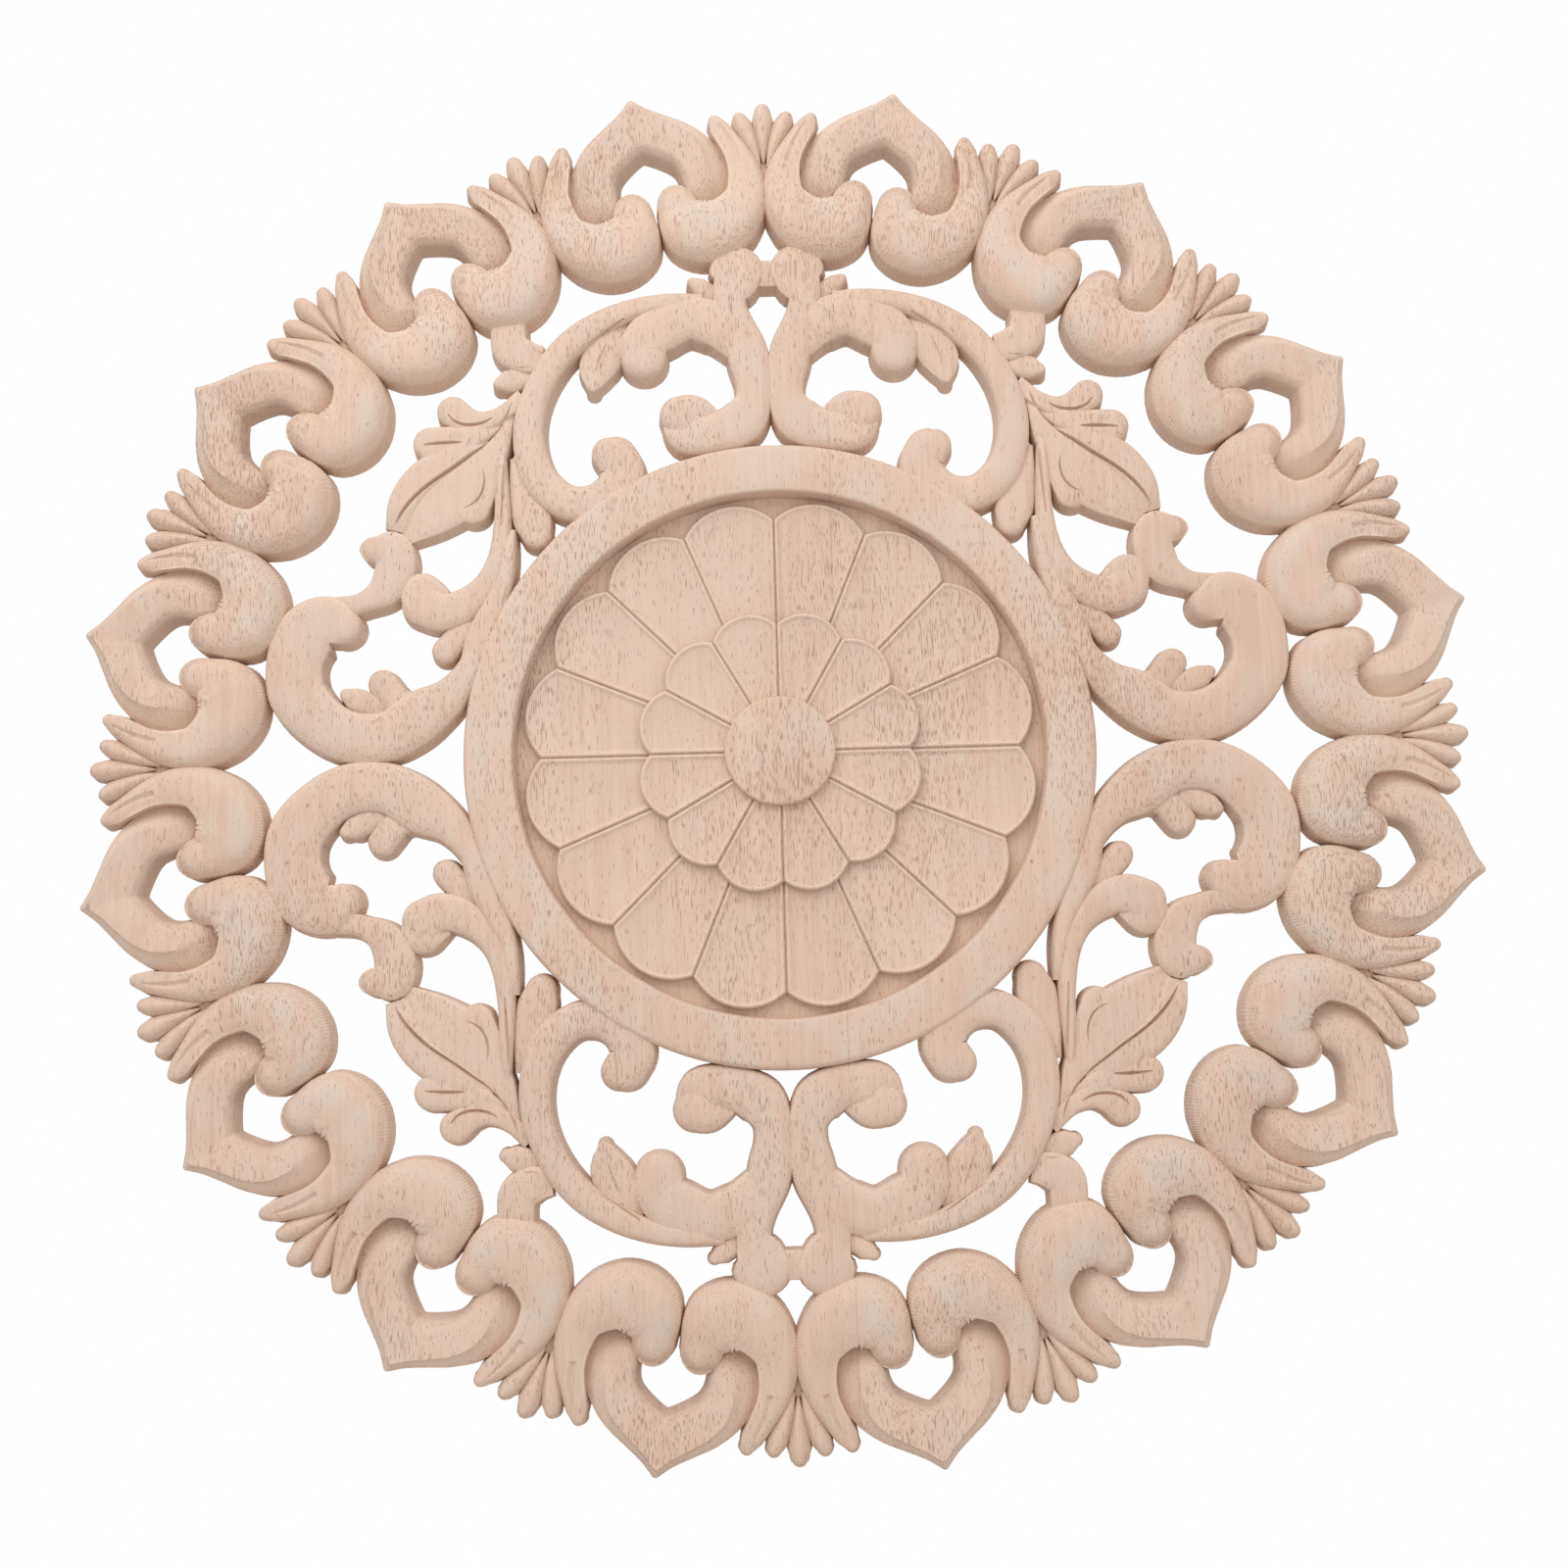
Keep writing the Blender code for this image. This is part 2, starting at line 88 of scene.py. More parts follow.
# Ring, dish, petals and button, in metres
RING_OUTER = 0.1328
RING_INNER = 0.1120
RING_TOP = 0.0140
RING_ROUND = 0.0026
RING_LIP = 0.0016
RING_TURNS = 192
DISH_FLOOR = 0.0052
OUTER_PETALS = 16
OUTER_PETAL_START = 0.0400
OUTER_PETAL_VALLEY = 0.0990
OUTER_PETAL_REACH = 0.1090
OUTER_PETAL_TOP = 0.0094
OUTER_PETAL_FALL = 0.0011
OUTER_BED_RADIUS = 0.0960
OUTER_BED_TOP = 0.0074
INNER_PETALS = 12
INNER_PETAL_START = 0.0160
INNER_PETAL_VALLEY = 0.0530
INNER_PETAL_REACH = 0.0606
INNER_PETAL_TOP = 0.0114
INNER_PETAL_FALL = 0.0009
INNER_BED_RADIUS = 0.0520
INNER_BED_TOP = 0.0094

# Petals: overlap of neighbours, flat bit at the tip and width of the edge, in metres, and rows in the end
PETAL_OVERLAP = 0.00003
PETAL_TIP = 0.000008
PETAL_EDGE = 0.0048
PETAL_ROWS = 8

# Edge of a petal: distance inside the outline, and height there beside the top of the petal, in metres
PETAL_PROFILE = (
    (0.0, -0.00125), (0.0004, -0.00052), (0.0008, -0.00010), (0.0012, 0.0), (0.0016, -0.00015),
    (0.0022, -0.00062), (0.0030, -0.00085),
)

# Button, and the rounding of turned edges
BUTTON_RADIUS = 0.0233
BUTTON_TOP = 0.0132
BUTTON_ROUND = 0.0014
BUTTON_TURNS = 144
ROUND_STEPS = 5

# Cutting of curves into lengths and of tops into strips
TURN_PER_LENGTH = math.radians(12)
LONGEST_LENGTH = 0.0046
FINE_STEPS = 16
CAP_ANGLES = [math.radians(a) for a in (16, 31, 45, 58, 69, 79, 86)]
STRIPS = 10
BEND_SHARE = 0.92
BEND_SPAN = 6

# Least progress of an edge from one section to the next, the share that will do, and most rounds to reach it
LEAST_STEP = 0.00002
ENOUGH = 0.95
UNFOLD_ROUNDS = 400

# Least radius of a band's top, least share of its width that an edge keeps, and least distances, in metres
LEAST_RADIUS = 0.0002
LEAST_WIDTH = 0.2
LEAST_CHORD = 1e-6
LEAST_RUN = 1e-9

# Allowance for rounding in a place across
ROUNDING = 1e-6

# Distances within which points are merged, in a turned shape and after the joins, in metres
SAME_POINT = 1e-7
SAME_SPOT = 0.000001

# What counts as a face of the flat back: depth in metres, and how squarely it faces backwards
BACK_DEPTH = 0.00001
BACK_FACING = 0.99

# Angle between faces from which an edge is sharp
CREASE_ANGLE = math.radians(34)

# Slope of the walls, as the distance that the top edge stands back from the foot, in metres
DRAFT = 0.0009

# How far the crest of a band dives where it starts inside another one, and over what length
DIVE = 0.0022
DIVE_LENGTH = 0.012

# Half width over radius from which a band meets itself in a bend, so that it is made of two solids, and the
# height in metres by which the second lies lower where they overlap
TIGHT_BEND = 1.25
HAIR = 0.00002

# Distance from the end of a band over which a raised rim comes up
RIM_FADE = 0.010

# Shape of a rounded top: powers of the distance from the middle line and of what is left of it
FLAT_TOP = (4.0, 0.62)
LEAF_TOP = (6.0, 0.60)
DOME_TOP = (2.9, 0.64)
PETAL_TOP = (1.9, 0.75)

# Difference in height that keeps the tops of crossing bands apart
STEP = 0.0001

# Border, for one half of an arch. A point is (across, out from the centre, half width, crest height).
SCROLL_HEAD = [
    (10.0, 245.6, 9.8, HEAD_CREST * 0.86),
    (10.6, 238.8, 11.4, HEAD_CREST * 0.95),
    (11.8, 235.8, 13.0, HEAD_CREST * 0.98),
    (14.0, 233.2, 14.4, HEAD_CREST),
    (18.8, 231.2, 15.2, HEAD_CREST),
    (25.0, 230.8, 14.6, HEAD_CREST),
    (32.2, 233.8, 13.0, HEAD_CREST),
    (39.7, 242.0, 10.4, HEAD_CREST * 0.93),
    (42.0, 252.0, 8.6, HEAD_CREST * 0.85),
    (41.2, 262.0, 6.9, TAIL_CREST * 1.06),
    (38.2, 271.0, 5.9, TAIL_CREST),
    (35.5, 277.9, 5.2, TAIL_CREST * 0.96),
    (34.3, 281.1, 3.7, TAIL_CREST * 0.93),
]

# Wood that fills the inner bend of a head, just below its surface
HEAD_BEND_EDGE = 0.0120
HEAD_BEND = [
    (17.3, 239.8, 6.6, 0.0148),
    (17.7, 240.2, 6.6, 0.0148),
]

# Arch leg: outer point, inner point, then in millimetres the heights of the outer edge, of the ridge, of the
# inner arris and of the inner edge, and the places across of ridge and arris, from -1 outside to 1 inside
ARCH_LEG = [
    ((0.7, 299.2), (0.0, 272.0), 9.8, 12.8, 11.7, 8.2, -0.70, 0.64),
    ((2.4, 297.6), (1.9, 271.0), 9.8, 12.9, 11.7, 8.2, -0.69, 0.64),
    ((6.4, 294.0), (4.8, 269.2), 10.0, 13.1, 11.7, 8.2, -0.67, 0.63),
    ((14.0, 289.0), (9.3, 265.9), 10.0, 13.3, 11.7, 8.2, -0.63, 0.62),
    ((22.0, 284.0), (12.0, 262.9), 9.4, 13.2, 11.6, 8.2, -0.55, 0.61),
    ((29.2, 277.3), (13.1, 259.0), 8.4, 12.9, 11.4, 8.0, -0.42, 0.61),
    ((35.0, 267.5), (13.2, 254.8), 7.0, 12.2, 10.9, 7.8, -0.16, 0.64),
    ((37.0, 256.0), (14.8, 248.5), 5.8, 10.2, 9.5, 7.0, 0.14, 0.72),
    ((32.0, 243.0), (20.5, 240.0), 3.8, 4.4, 4.2, 3.8, 0.20, 0.76),
]
ARCH_STEPS = 5
ARCH_DRAFT = 0.0016

# Strips across an arch: outer chamfer, broad top and inner bevel, and the bend of each
ARCH_STRIPS = (3, 5, 4)
CHAMFER_RISE = 1.1
BROAD_FALL = 1.5
BEVEL_TOP = (1.5, 0.95)

# Fan between two tails: wood at its root, the middle finger and one side finger
FAN_STRIPS = 8
FAN_ROOT_EDGE = 0.0058
FAN_ROOT = [
    (0.0, 254.5, 2.6, 0.0066),
    (0.0, 262.0, 2.8, 0.0066),
]
FAN_MIDDLE = [
    (0.0, 263.0, 1.2, FAN_CREST * 0.84),
    (0.0, 272.0, 3.4, FAN_CREST * 0.96),
    (0.0, 284.2, 5.6, FAN_CREST),
    (0.0, 287.0, 4.2, FAN_CREST * 0.97),
]
FAN_SIDE = [
    (2.0, 261.0, 1.6, FAN_CREST * 0.84),
    (4.8, 270.5, 3.8, FAN_CREST * 0.96),
    (9.2, 281.2, 5.1, FAN_CREST),
    (10.3, 283.6, 3.8, FAN_CREST * 0.97),
]

# Scrollwork of one quarter. A point is (right, up, half width).
UPRIGHT_SCROLL = [
    (39.6, 146.0, 8.6),
    (35.8, 139.2, 9.6),
    (22.5, 139.8, 9.8),
    (12.4, 144.6, 11.0),
    (7.6, 152.6, 9.0),
    (7.0, 161.0, 8.6),
    (8.2, 170.0, 9.8),
    (10.0, 178.0, 9.7),
    (14.4, 190.0, 8.3),
    (16.2, 199.5, 8.0),
    (13.8, 207.0, 10.8),
    (13.2, 211.8, 12.8),
]
UPRIGHT_CURL = [
    (27.0, 143.2, 8.6),
    (33.8, 147.6, 10.0),
    (39.0, 147.8, 9.6),
]
SCROLL_BRIDGE = [(-6.0, 211.0, 6.8), (6.0, 211.0, 6.8)]
LEAF_LOBE = [
    (13.0, 178.0, 8.0),
    (22.0, 187.5, 11.0),
    (34.0, 191.2, 11.0),
    (46.4, 187.4, 12.2),
    (54.0, 180.4, 11.0),
    (54.2, 174.1, 10.8),
]
LEAFLET = [
    (62.0, 190.0, 5.0),
    (69.6, 180.0, 9.8),
    (74.2, 170.6, 9.2),
    (75.6, 165.2, 6.8),
    (76.3, 161.0, 3.5),
]
LONG_ARM = [
    (28.0, 198.8, 4.4),
    (44.0, 198.4, 5.2),
    (58.0, 196.1, 5.6),
    (71.0, 190.9, 6.6),
    (83.7, 182.8, 7.2),
    (92.8, 173.2, 7.2),
    (100.2, 160.0, 7.2),
    (104.0, 146.0, 7.6),
    (103.4, 132.0, 8.0),
    (98.6, 119.5, 8.8),
    (88.0, 110.6, 8.6),
    (76.0, 109.8, 9.4),
    (66.8, 115.0, 10.8),
    (64.0, 124.0, 10.2),
    (66.8, 130.0, 10.0),
]
LONG_ARM_TIP = [
    (64.0, 123.0, 8.4),
    (70.0, 131.4, 8.2),
]
BORDER_KNOB = [
    (112.0, 197.0, 8.4),
    (112.6, 186.0, 8.6),
    (111.2, 179.6, 9.0),
    (105.0, 176.0, 8.2),
    (98.0, 175.0, 6.4),
]
SMALL_LEAFLET = [
    (102.0, 171.0, 3.6),
    (108.6, 166.8, 6.2),
    (113.4, 165.2, 6.0),
    (116.8, 164.2, 3.6),
]
BUD = [
    (20.0, 200.0, 5.0),
    (26.8, 204.2, 5.1),
    (30.0, 206.3, 4.9),
    (32.6, 207.9, 3.1),
]
LEAF_CURL = [
    (106.5, 158.5, 4.6),
    (115.5, 150.6, 4.6),
    (124.0, 147.0, 5.8),
    (131.0, 148.2, 6.8),
    (136.8, 152.2, 7.7),
]
LEAF_SHOULDER = [
    (116.0, 147.0, 3.0),
    (128.0, 140.6, 6.0),
    (140.0, 138.7, 7.8),
    (146.4, 138.0, 8.4),
]
LEAF_UPPER = [
    (122.0, 139.5, 2.4),
    (135.0, 132.8, 6.4),
    (149.0, 124.0, 8.2),
    (157.5, 113.0, 7.7),
    (161.6, 100.0, 5.2),
]
LEAF_LOWER = [
    (111.0, 152.0, 2.0),
    (118.5, 134.0, 6.4),
    (133.2, 118.2, 13.4),
    (146.4, 107.4, 11.4),
    (158.2, 98.0, 5.8),
]
LEAF_FOOT = [
    (118.0, 132.0, 3.2),
    (121.8, 119.0, 5.4),
    (128.2, 109.6, 8.4),
]
CONNECTOR = [
    (169.2, 91.8, 6.8),
    (163.0, 91.2, 9.4),
    (161.6, 83.6, 9.6),
    (166.0, 74.2, 8.2),
    (175.4, 68.8, 5.5),
    (187.0, 66.0, 6.6),
]
STEM = [
    (115.8, 136.0, 2.2),
    (115.8, 118.0, 3.9),
    (115.8, 102.0, 4.6),
    (118.0, 86.0, 5.4),
    (123.8, 74.2, 6.4),
    (133.5, 66.0, 8.2),
    (142.6, 64.0, 9.2),
    (149.8, 67.2, 10.0),
]
STEM_CURL = [
    (144.4, 66.4, 9.4),
    (150.2, 71.8, 10.2),
]
SIDE_SCROLL = [
    (112.2, 99.0, 2.8),
    (113.2, 86.0, 4.0),
    (115.2, 76.0, 4.8),
    (119.8, 65.0, 6.4),
    (125.4, 52.4, 7.2),
    (129.6, 40.0, 6.4),
    (138.8, 27.4, 8.9),
    (151.0, 19.2, 12.3),
    (163.5, 11.6, 11.8),
    (178.0, 10.6, 11.9),
    (191.0, 16.2, 12.2),
    (202.4, 29.2, 13.2),
    (204.0, 43.0, 13.1),
    (199.4, 55.2, 14.0),
    (190.4, 60.8, 12.3),
    (183.2, 58.5, 8.6),
]
SIDE_NUB = [
    (150.0, 24.4, 5.4),
    (160.0, 25.6, 7.2),
    (167.0, 33.6, 7.2),
]
SIDE_LEAFLET = [
    (164.0, 20.6, 2.6),
    (173.2, 24.9, 5.9),
    (179.2, 27.6, 5.8),
    (182.4, 29.3, 3.7),
]
HANGING_LEAFLET = [
    (127.0, 63.0, 1.6),
    (134.3, 54.4, 6.0),
    (140.6, 47.3, 6.6),
]
DROP_LEAF = [
    (111.0, 131.0, 2.4),
    (108.2, 116.0, 5.6),
    (103.4, 104.0, 9.2),
    (101.4, 96.8, 7.2),
]

# Cuts of the parting tool in one quarter. A point is (right, up, half width at the surface, depth).
MIDRIB = [
    (110.6, 158.0, 0.2, 0.5),
    (113.5, 149.0, 0.59, 1.1),
    (117.5, 142.6, 0.68, 1.6),
    (123.7, 136.2, 0.71, 1.9),
    (130.3, 131.4, 0.74, 2.0),
    (137.3, 126.3, 0.74, 2.0),
    (144.1, 121.8, 0.74, 2.0),
    (150.5, 116.8, 0.71, 1.9),
    (156.5, 110.5, 0.68, 1.7),
    (160.8, 103.8, 0.62, 1.3),
    (163.2, 97.5, 0.2, 0.6),
]
CURL_CUT = [
    (119.6, 148.6, 0.2, 0.4),
    (123.4, 146.6, 0.65, 1.3),
    (128.0, 145.7, 0.74, 1.7),
    (132.4, 146.0, 0.71, 1.6),
    (136.2, 147.7, 0.62, 1.2),
    (138.6, 150.6, 0.2, 0.5),
]
SHOULDER_CUT = [
    (133.0, 138.0, 0.2, 0.3),
    (137.4, 138.0, 0.65, 1.5),
    (143.0, 137.8, 0.65, 1.5),
    (149.0, 137.2, 0.2, 0.3),
]
FOOT_CUT = [
    (123.9, 126.6, 0.2, 0.4),
    (123.3, 120.6, 0.71, 1.4),
    (124.6, 115.2, 0.77, 1.7),
    (127.8, 111.2, 0.71, 1.4),
    (132.6, 108.8, 0.2, 0.5),
]
KNOB_CUT = [
    (100.2, 173.0, 0.2, 0.4),
    (103.9, 171.3, 0.59, 1.2),
    (108.4, 170.8, 0.59, 1.3),
    (113.4, 171.2, 0.2, 0.4),
]
LOBE_CUT = [
    (62.0, 191.2, 0.2, 0.4),
    (66.4, 188.4, 0.62, 1.2),
    (71.8, 184.6, 0.65, 1.4),
    (77.0, 181.0, 0.62, 1.2),
    (81.4, 176.8, 0.2, 0.4),
]
STEM_CUT = [
    (116.2, 100.0, 0.2, 0.3),
    (115.3, 114.0, 0.53, 0.8),
    (114.4, 128.0, 0.53, 0.8),
    (113.4, 140.0, 0.2, 0.3),
]
LEAFLET_CUT = [
    (70.0, 181.0, 0.2, 0.2),
    (73.0, 174.0, 0.56, 0.6),
    (75.0, 168.0, 0.2, 0.2),
]
TAIL_CUT = [
    (34.6, 283.2, 0.5, 0.4),
    (37.0, 276.5, 1.3, 0.9),
    (39.4, 268.0, 1.2, 0.8),
    (40.2, 259.0, 0.3, 0.2),
]

# Height of a cutting shape above the surface and half width of its bottom, in metres
CUT_HEADROOM = 0.003
CUT_BOTTOM = 0.00008

# Wood: joints between the glued boards, as places across, and each board's tone beside the first
BOARD_JOINTS = (-0.236, -0.166, -0.0035, 0.0245, 0.125, 0.204)
BOARD_TONES = (0.0, 0.022, -0.014, 0.018, -0.006, 0.014, -0.012)
JOINT_WIDTH = 0.0004
JOINT_DARK = (0.10, 0.05, 0.02, 0.20, 0.05, 0.06)
PALE_WOOD = (0.762, 0.570, 0.452, 1)
ROSY_WOOD = (0.702, 0.487, 0.375, 1)
PORE_BROWN = (0.340, 0.190, 0.120, 1)
HATCH_BROWN = (0.420, 0.245, 0.150, 1)
# Paler grey of the patches, which also carries the painted sheen on the highest tops
GREY_PATCH_AND_SHEEN = (0.720, 0.625, 0.545, 1)
# Colour of the painted highlight along the arrises and on the petals' beads
ARRIS_HIGHLIGHT = (0.840, 0.680, 0.550, 1)

# Share of a joint's half width where its line is darkest and where it ends, and weight of the boards' tones
JOINT_LINE = (0.4, 1.2)
BOARD_WEIGHT = 8

# Scales of the wood's patterns along the three axes: fine across the grain, long along it
CLOUD = (9, 9, 5)
STREAKS = (420, 420, 9)
FIBRES = (2000, 2000, 60)
GREY_PATCHES = (55, 55, 40)
PORES = (2300, 2300, 250)
PORE_PATCHES = (24, 24, 10)
WANDER = (160, 160, 160)
FUZZ = (2400, 2400, 1300)

# Tone of the wood: weights of cloud, streaks and fibres, and the middle tone
CLOUD_WEIGHT = 1.3
STREAK_WEIGHT = 1.3
FIBRE_WEIGHT = 1.2
MIDDLE_TONE = 0.42

# Paler greyish patches, partly the wood's own random tone and partly painted sheen on the highest tops:
# range of their pattern, heights above the back over which the painted sheen comes in, and shares at the top
# and everywhere
GREY_PATCH_RANGE = (0.42, 0.66)
PAINTED_SHEEN_HEIGHTS = (0.0110, 0.0155)
PAINTED_SHEEN_TOP = 0.42
GREY_PATCH_BASE = 0.16

# Pores: how much they gather in patches, range of their pattern and share of brown
PORE_GATHER = 0.34
PORE_RANGE = (0.690, 0.745)
PORE_SHARE = 0.58

# Strokes of the carving tool: distance from one to the next in metres, their wander, the slopes that show
# them, from steep to flat, and share of brown
TOOTH_PITCH = 0.00078
TOOTH_WANDER = 4
FLANK_RANGE = (0.60, 0.96)
HATCH_SHARE = 0.15

# Painted highlight, a pale line along the upper arris, as ranges of the place across, the heights where it
# begins, and its share
ARRIS_HIGHLIGHT_INNER = (0.50, 0.74)
ARRIS_HIGHLIGHT_OUTER = (0.80, 0.94)
ARRIS_HIGHLIGHT_HEIGHTS = (0.0, 0.0004)
ARRIS_HIGHLIGHT_SHARE = 0.40

# Rough fibres: range of the pattern and share of brown in its hollows
FUZZ_RANGE = (0.30, 0.50)
FUZZ_SHARE = 0.10

# Relief of the surface: weights of its patterns, strength, and depth in metres
FUZZ_RELIEF = 1.3
HATCH_RELIEF = 0.7
FIBRE_RELIEF = 0.5
PORE_RELIEF = 0.9
RELIEF_STRENGTH = 0.7
RELIEF_DEPTH = 0.00016

# Dullness of the wood and of the floor
WOOD_ROUGHNESS = 0.70
ROUGHNESS_CHANGE = 0.2
WOOD_SPECULAR = 0.28
FLOOR_ROUGHNESS = 0.9

# Camera of the photograph: focal length and place in metres, turn in degrees
LENS_MM = 48.0
SENSOR_MM = 36.0
CAMERA_PLACE = (-0.00249, -0.87653, -0.14518)
CAMERA_TURN = (98.616, 1.6067, -0.0054)

# Studio
FLOOR_DROP = 0.34
FLOOR_SIZE = 2.6
PALE_FLOOR = (0.68, 0.67, 0.65, 1)
WHITE = (1, 1, 1, 1)
KEY_PLACE = (-0.48, -0.85, 1.12)
KEY_SIZE = 1.1
KEY_WATTS = 9.8
FILL_PLACE = (1.20, -1.30, 0.50)
FILL_SIZE = 1.6
FILL_WATTS = 3.0
ROOM_LIGHT = 0.765


def blend(a, b, c, d, t0, t1, t2, t3, t):
    """Value at t between b and c of the smooth curve through four values at t0 to t3."""
    slope_b = (c - a) / (t2 - t0)
    slope_c = (d - b) / (t3 - t1)
    span = t2 - t1
    s = (t - t1) / span
    rise = slope_b * span * (s ** 3 - 2 * s ** 2 + s) + slope_c * span * (s ** 3 - s ** 2)
    return b * (2 * s ** 3 - 3 * s ** 2 + 1) + c * (3 * s ** 2 - 2 * s ** 3) + rise


def smooth(rows, steps):
    """The rows of numbers with more rows between them, on a smooth curve, placed by chord length."""
    places = [0.0]
    for first, second in zip(rows, rows[1:]):
        places.append(places[-1] + max(math.dist(first[:2], second[:2]), LEAST_CHORD))
    count = len(rows)
    lead = 2 * places[0] - places[1]
    trail = 2 * places[-1] - places[-2]
    result = []
    for k in range(count - 1):
        before = rows[k - 1] if k else [2 * p - q for p, q in zip(rows[0], rows[1])]
        after = rows[k + 2] if k + 2 < count else [2 * q - p for p, q in zip(rows[k], rows[k + 1])]
        t0 = places[k - 1] if k else lead
        t3 = places[k + 2] if k + 2 < count else trail
        for i in range(steps):
            t = places[k] + (places[k + 1] - places[k]) * i / steps
            quads = zip(before, rows[k], rows[k + 1], after)
            result.append([blend(*four, t0, places[k], places[k + 1], t3, t) for four in quads])
    result.append(list(rows[-1]))
    return result


def turns(rows):
    """Angle turned through at each row of a path."""
    found = [0.0]
    for a, b, c in zip(rows, rows[1:], rows[2:]):
        first = math.atan2(b[1] - a[1], b[0] - a[0])
        second = math.atan2(c[1] - b[1], c[0] - b[0])
        found.append((second - first + math.pi) % (2 * math.pi) - math.pi)
    found.append(0.0)
    return found


def stations(rows):
    """Places picked from a smooth path so that no length turns or runs too far: row, heading, bend and
    distance along."""
    fine = smooth(rows, FINE_STEPS)
    bends = turns(fine)
    cost = [0.0]
    along = [0.0]
    for k in range(1, len(fine)):
        run = math.dist(fine[k - 1][:2], fine[k][:2])
        bend = (abs(bends[k - 1]) + abs(bends[k])) / 2
        along.append(along[-1] + run)
        cost.append(cost[-1] + bend / TURN_PER_LENGTH + run / LONGEST_LENGTH)
    lengths = max(2, math.ceil(cost[-1]))
    picked = []
    for i in range(lengths + 1):
        goal = cost[-1] * i / lengths
        k = min(range(len(cost)), key=lambda n: abs(cost[n] - goal))
        if not picked or k > picked[-1]:
            picked.append(k)
    result = []
    for k in picked:
        a = fine[max(k - 1, 0)]
        b = fine[min(k + 1, len(fine) - 1)]
        run = math.dist(a[:2], b[:2])
        heading = ((b[0] - a[0]) / run, (b[1] - a[1]) / run)
        near = range(max(k - BEND_SPAN, 1), min(k + BEND_SPAN, len(fine) - 2) + 1)
        bend = sum(bends[n] for n in near) / max(along[near[-1]] - along[near[0] - 1], LEAST_RUN)
        result.append((fine[k], heading, bend, along[k]))
    return result


def rounded_end(station, backward):
    """Stations past the end of a band, each with the share of the end's radius that it reaches."""
    row, heading, _, along = station
    sign = -1 if backward else 1
    found = []
    for angle in CAP_ANGLES:
        reach = sign * row[2] * math.sin(angle)
        x = row[0] + heading[0] * reach
        z = row[1] + heading[1] * reach
        found.append(((x, z, *row[2:]), heading, 0.0, along + reach, math.sin(angle)))
    return found[::-1] if backward else found


def edge_pair(row, heading, bend, reach, inset):
    """Left and right edge of a band at a station, stood back by the inset."""
    half = row[2]
    x, z = row[:2]
    if reach:
        x -= heading[0] * inset * reach
        z -= heading[1] * inset * reach
        left = right = (half - inset) * math.sqrt(1 - reach ** 2)
    else:
        left = half if bend <= 0 else min(half, BEND_SHARE / bend)
        right = half if bend >= 0 else min(half, -BEND_SHARE / bend)
        left = max(left - inset, left * LEAST_WIDTH)
        right = max(right - inset, right * LEAST_WIDTH)
    across = (-heading[1], heading[0])
    return [
        [x + across[0] * left, z + across[1] * left],
        [x - across[0] * right, z - across[1] * right],
    ]


def unfold(points, headings):
    """Brings edge points together where the inside of a tight bend would run backwards."""
    for _ in range(UNFOLD_ROUNDS):
        moved = False
        for a, b, first, second in zip(points, points[1:], headings, headings[1:]):
            way = (first[0] + second[0], first[1] + second[1])
            size = math.hypot(*way)
            way = (way[0] / size * LEAST_STEP / 2, way[1] / size * LEAST_STEP / 2)
            step = (b[0] - a[0]) * way[0] + (b[1] - a[1]) * way[1]
            if step < 2 * ENOUGH * (way[0] ** 2 + way[1] ** 2):
                middle = ((a[0] + b[0]) / 2, (a[1] + b[1]) / 2)
                a[:] = (middle[0] - way[0], middle[1] - way[1])
                b[:] = (middle[0] + way[0], middle[1] + way[1])
                moved = True
        if not moved:
            return


def crown(distance, top):
    """Height of a rounded top, 1 in the middle and 0 at the edge, at a share of the way out."""
    return (1 - min(abs(distance), 1) ** top[0]) ** top[1]


def discs_along(rows, caps):
    """Discs that cover a band from end to end: right, up, radius of the top, crest height and share of
    the rim."""
    fine = smooth(rows, FINE_STEPS)
    along = [0.0]
    for first, second in zip(fine, fine[1:]):
        along.append(along[-1] + math.dist(first[:2], second[:2]))
    discs = []
    for (right, up, half, crest), distance in zip(fine, along):
        for capped, from_end in ((caps[0], distance), (caps[1], along[-1] - distance)):
            if not capped and from_end < DIVE_LENGTH:
                crest -= DIVE * (1 - from_end / DIVE_LENGTH) ** 2
        share = min(min(distance, along[-1] - distance) / RIM_FADE, 1)
        discs.append((right, up, max(half - DRAFT, LEAST_RADIUS), crest, share ** 2 * (3 - 2 * share)))
    return discs


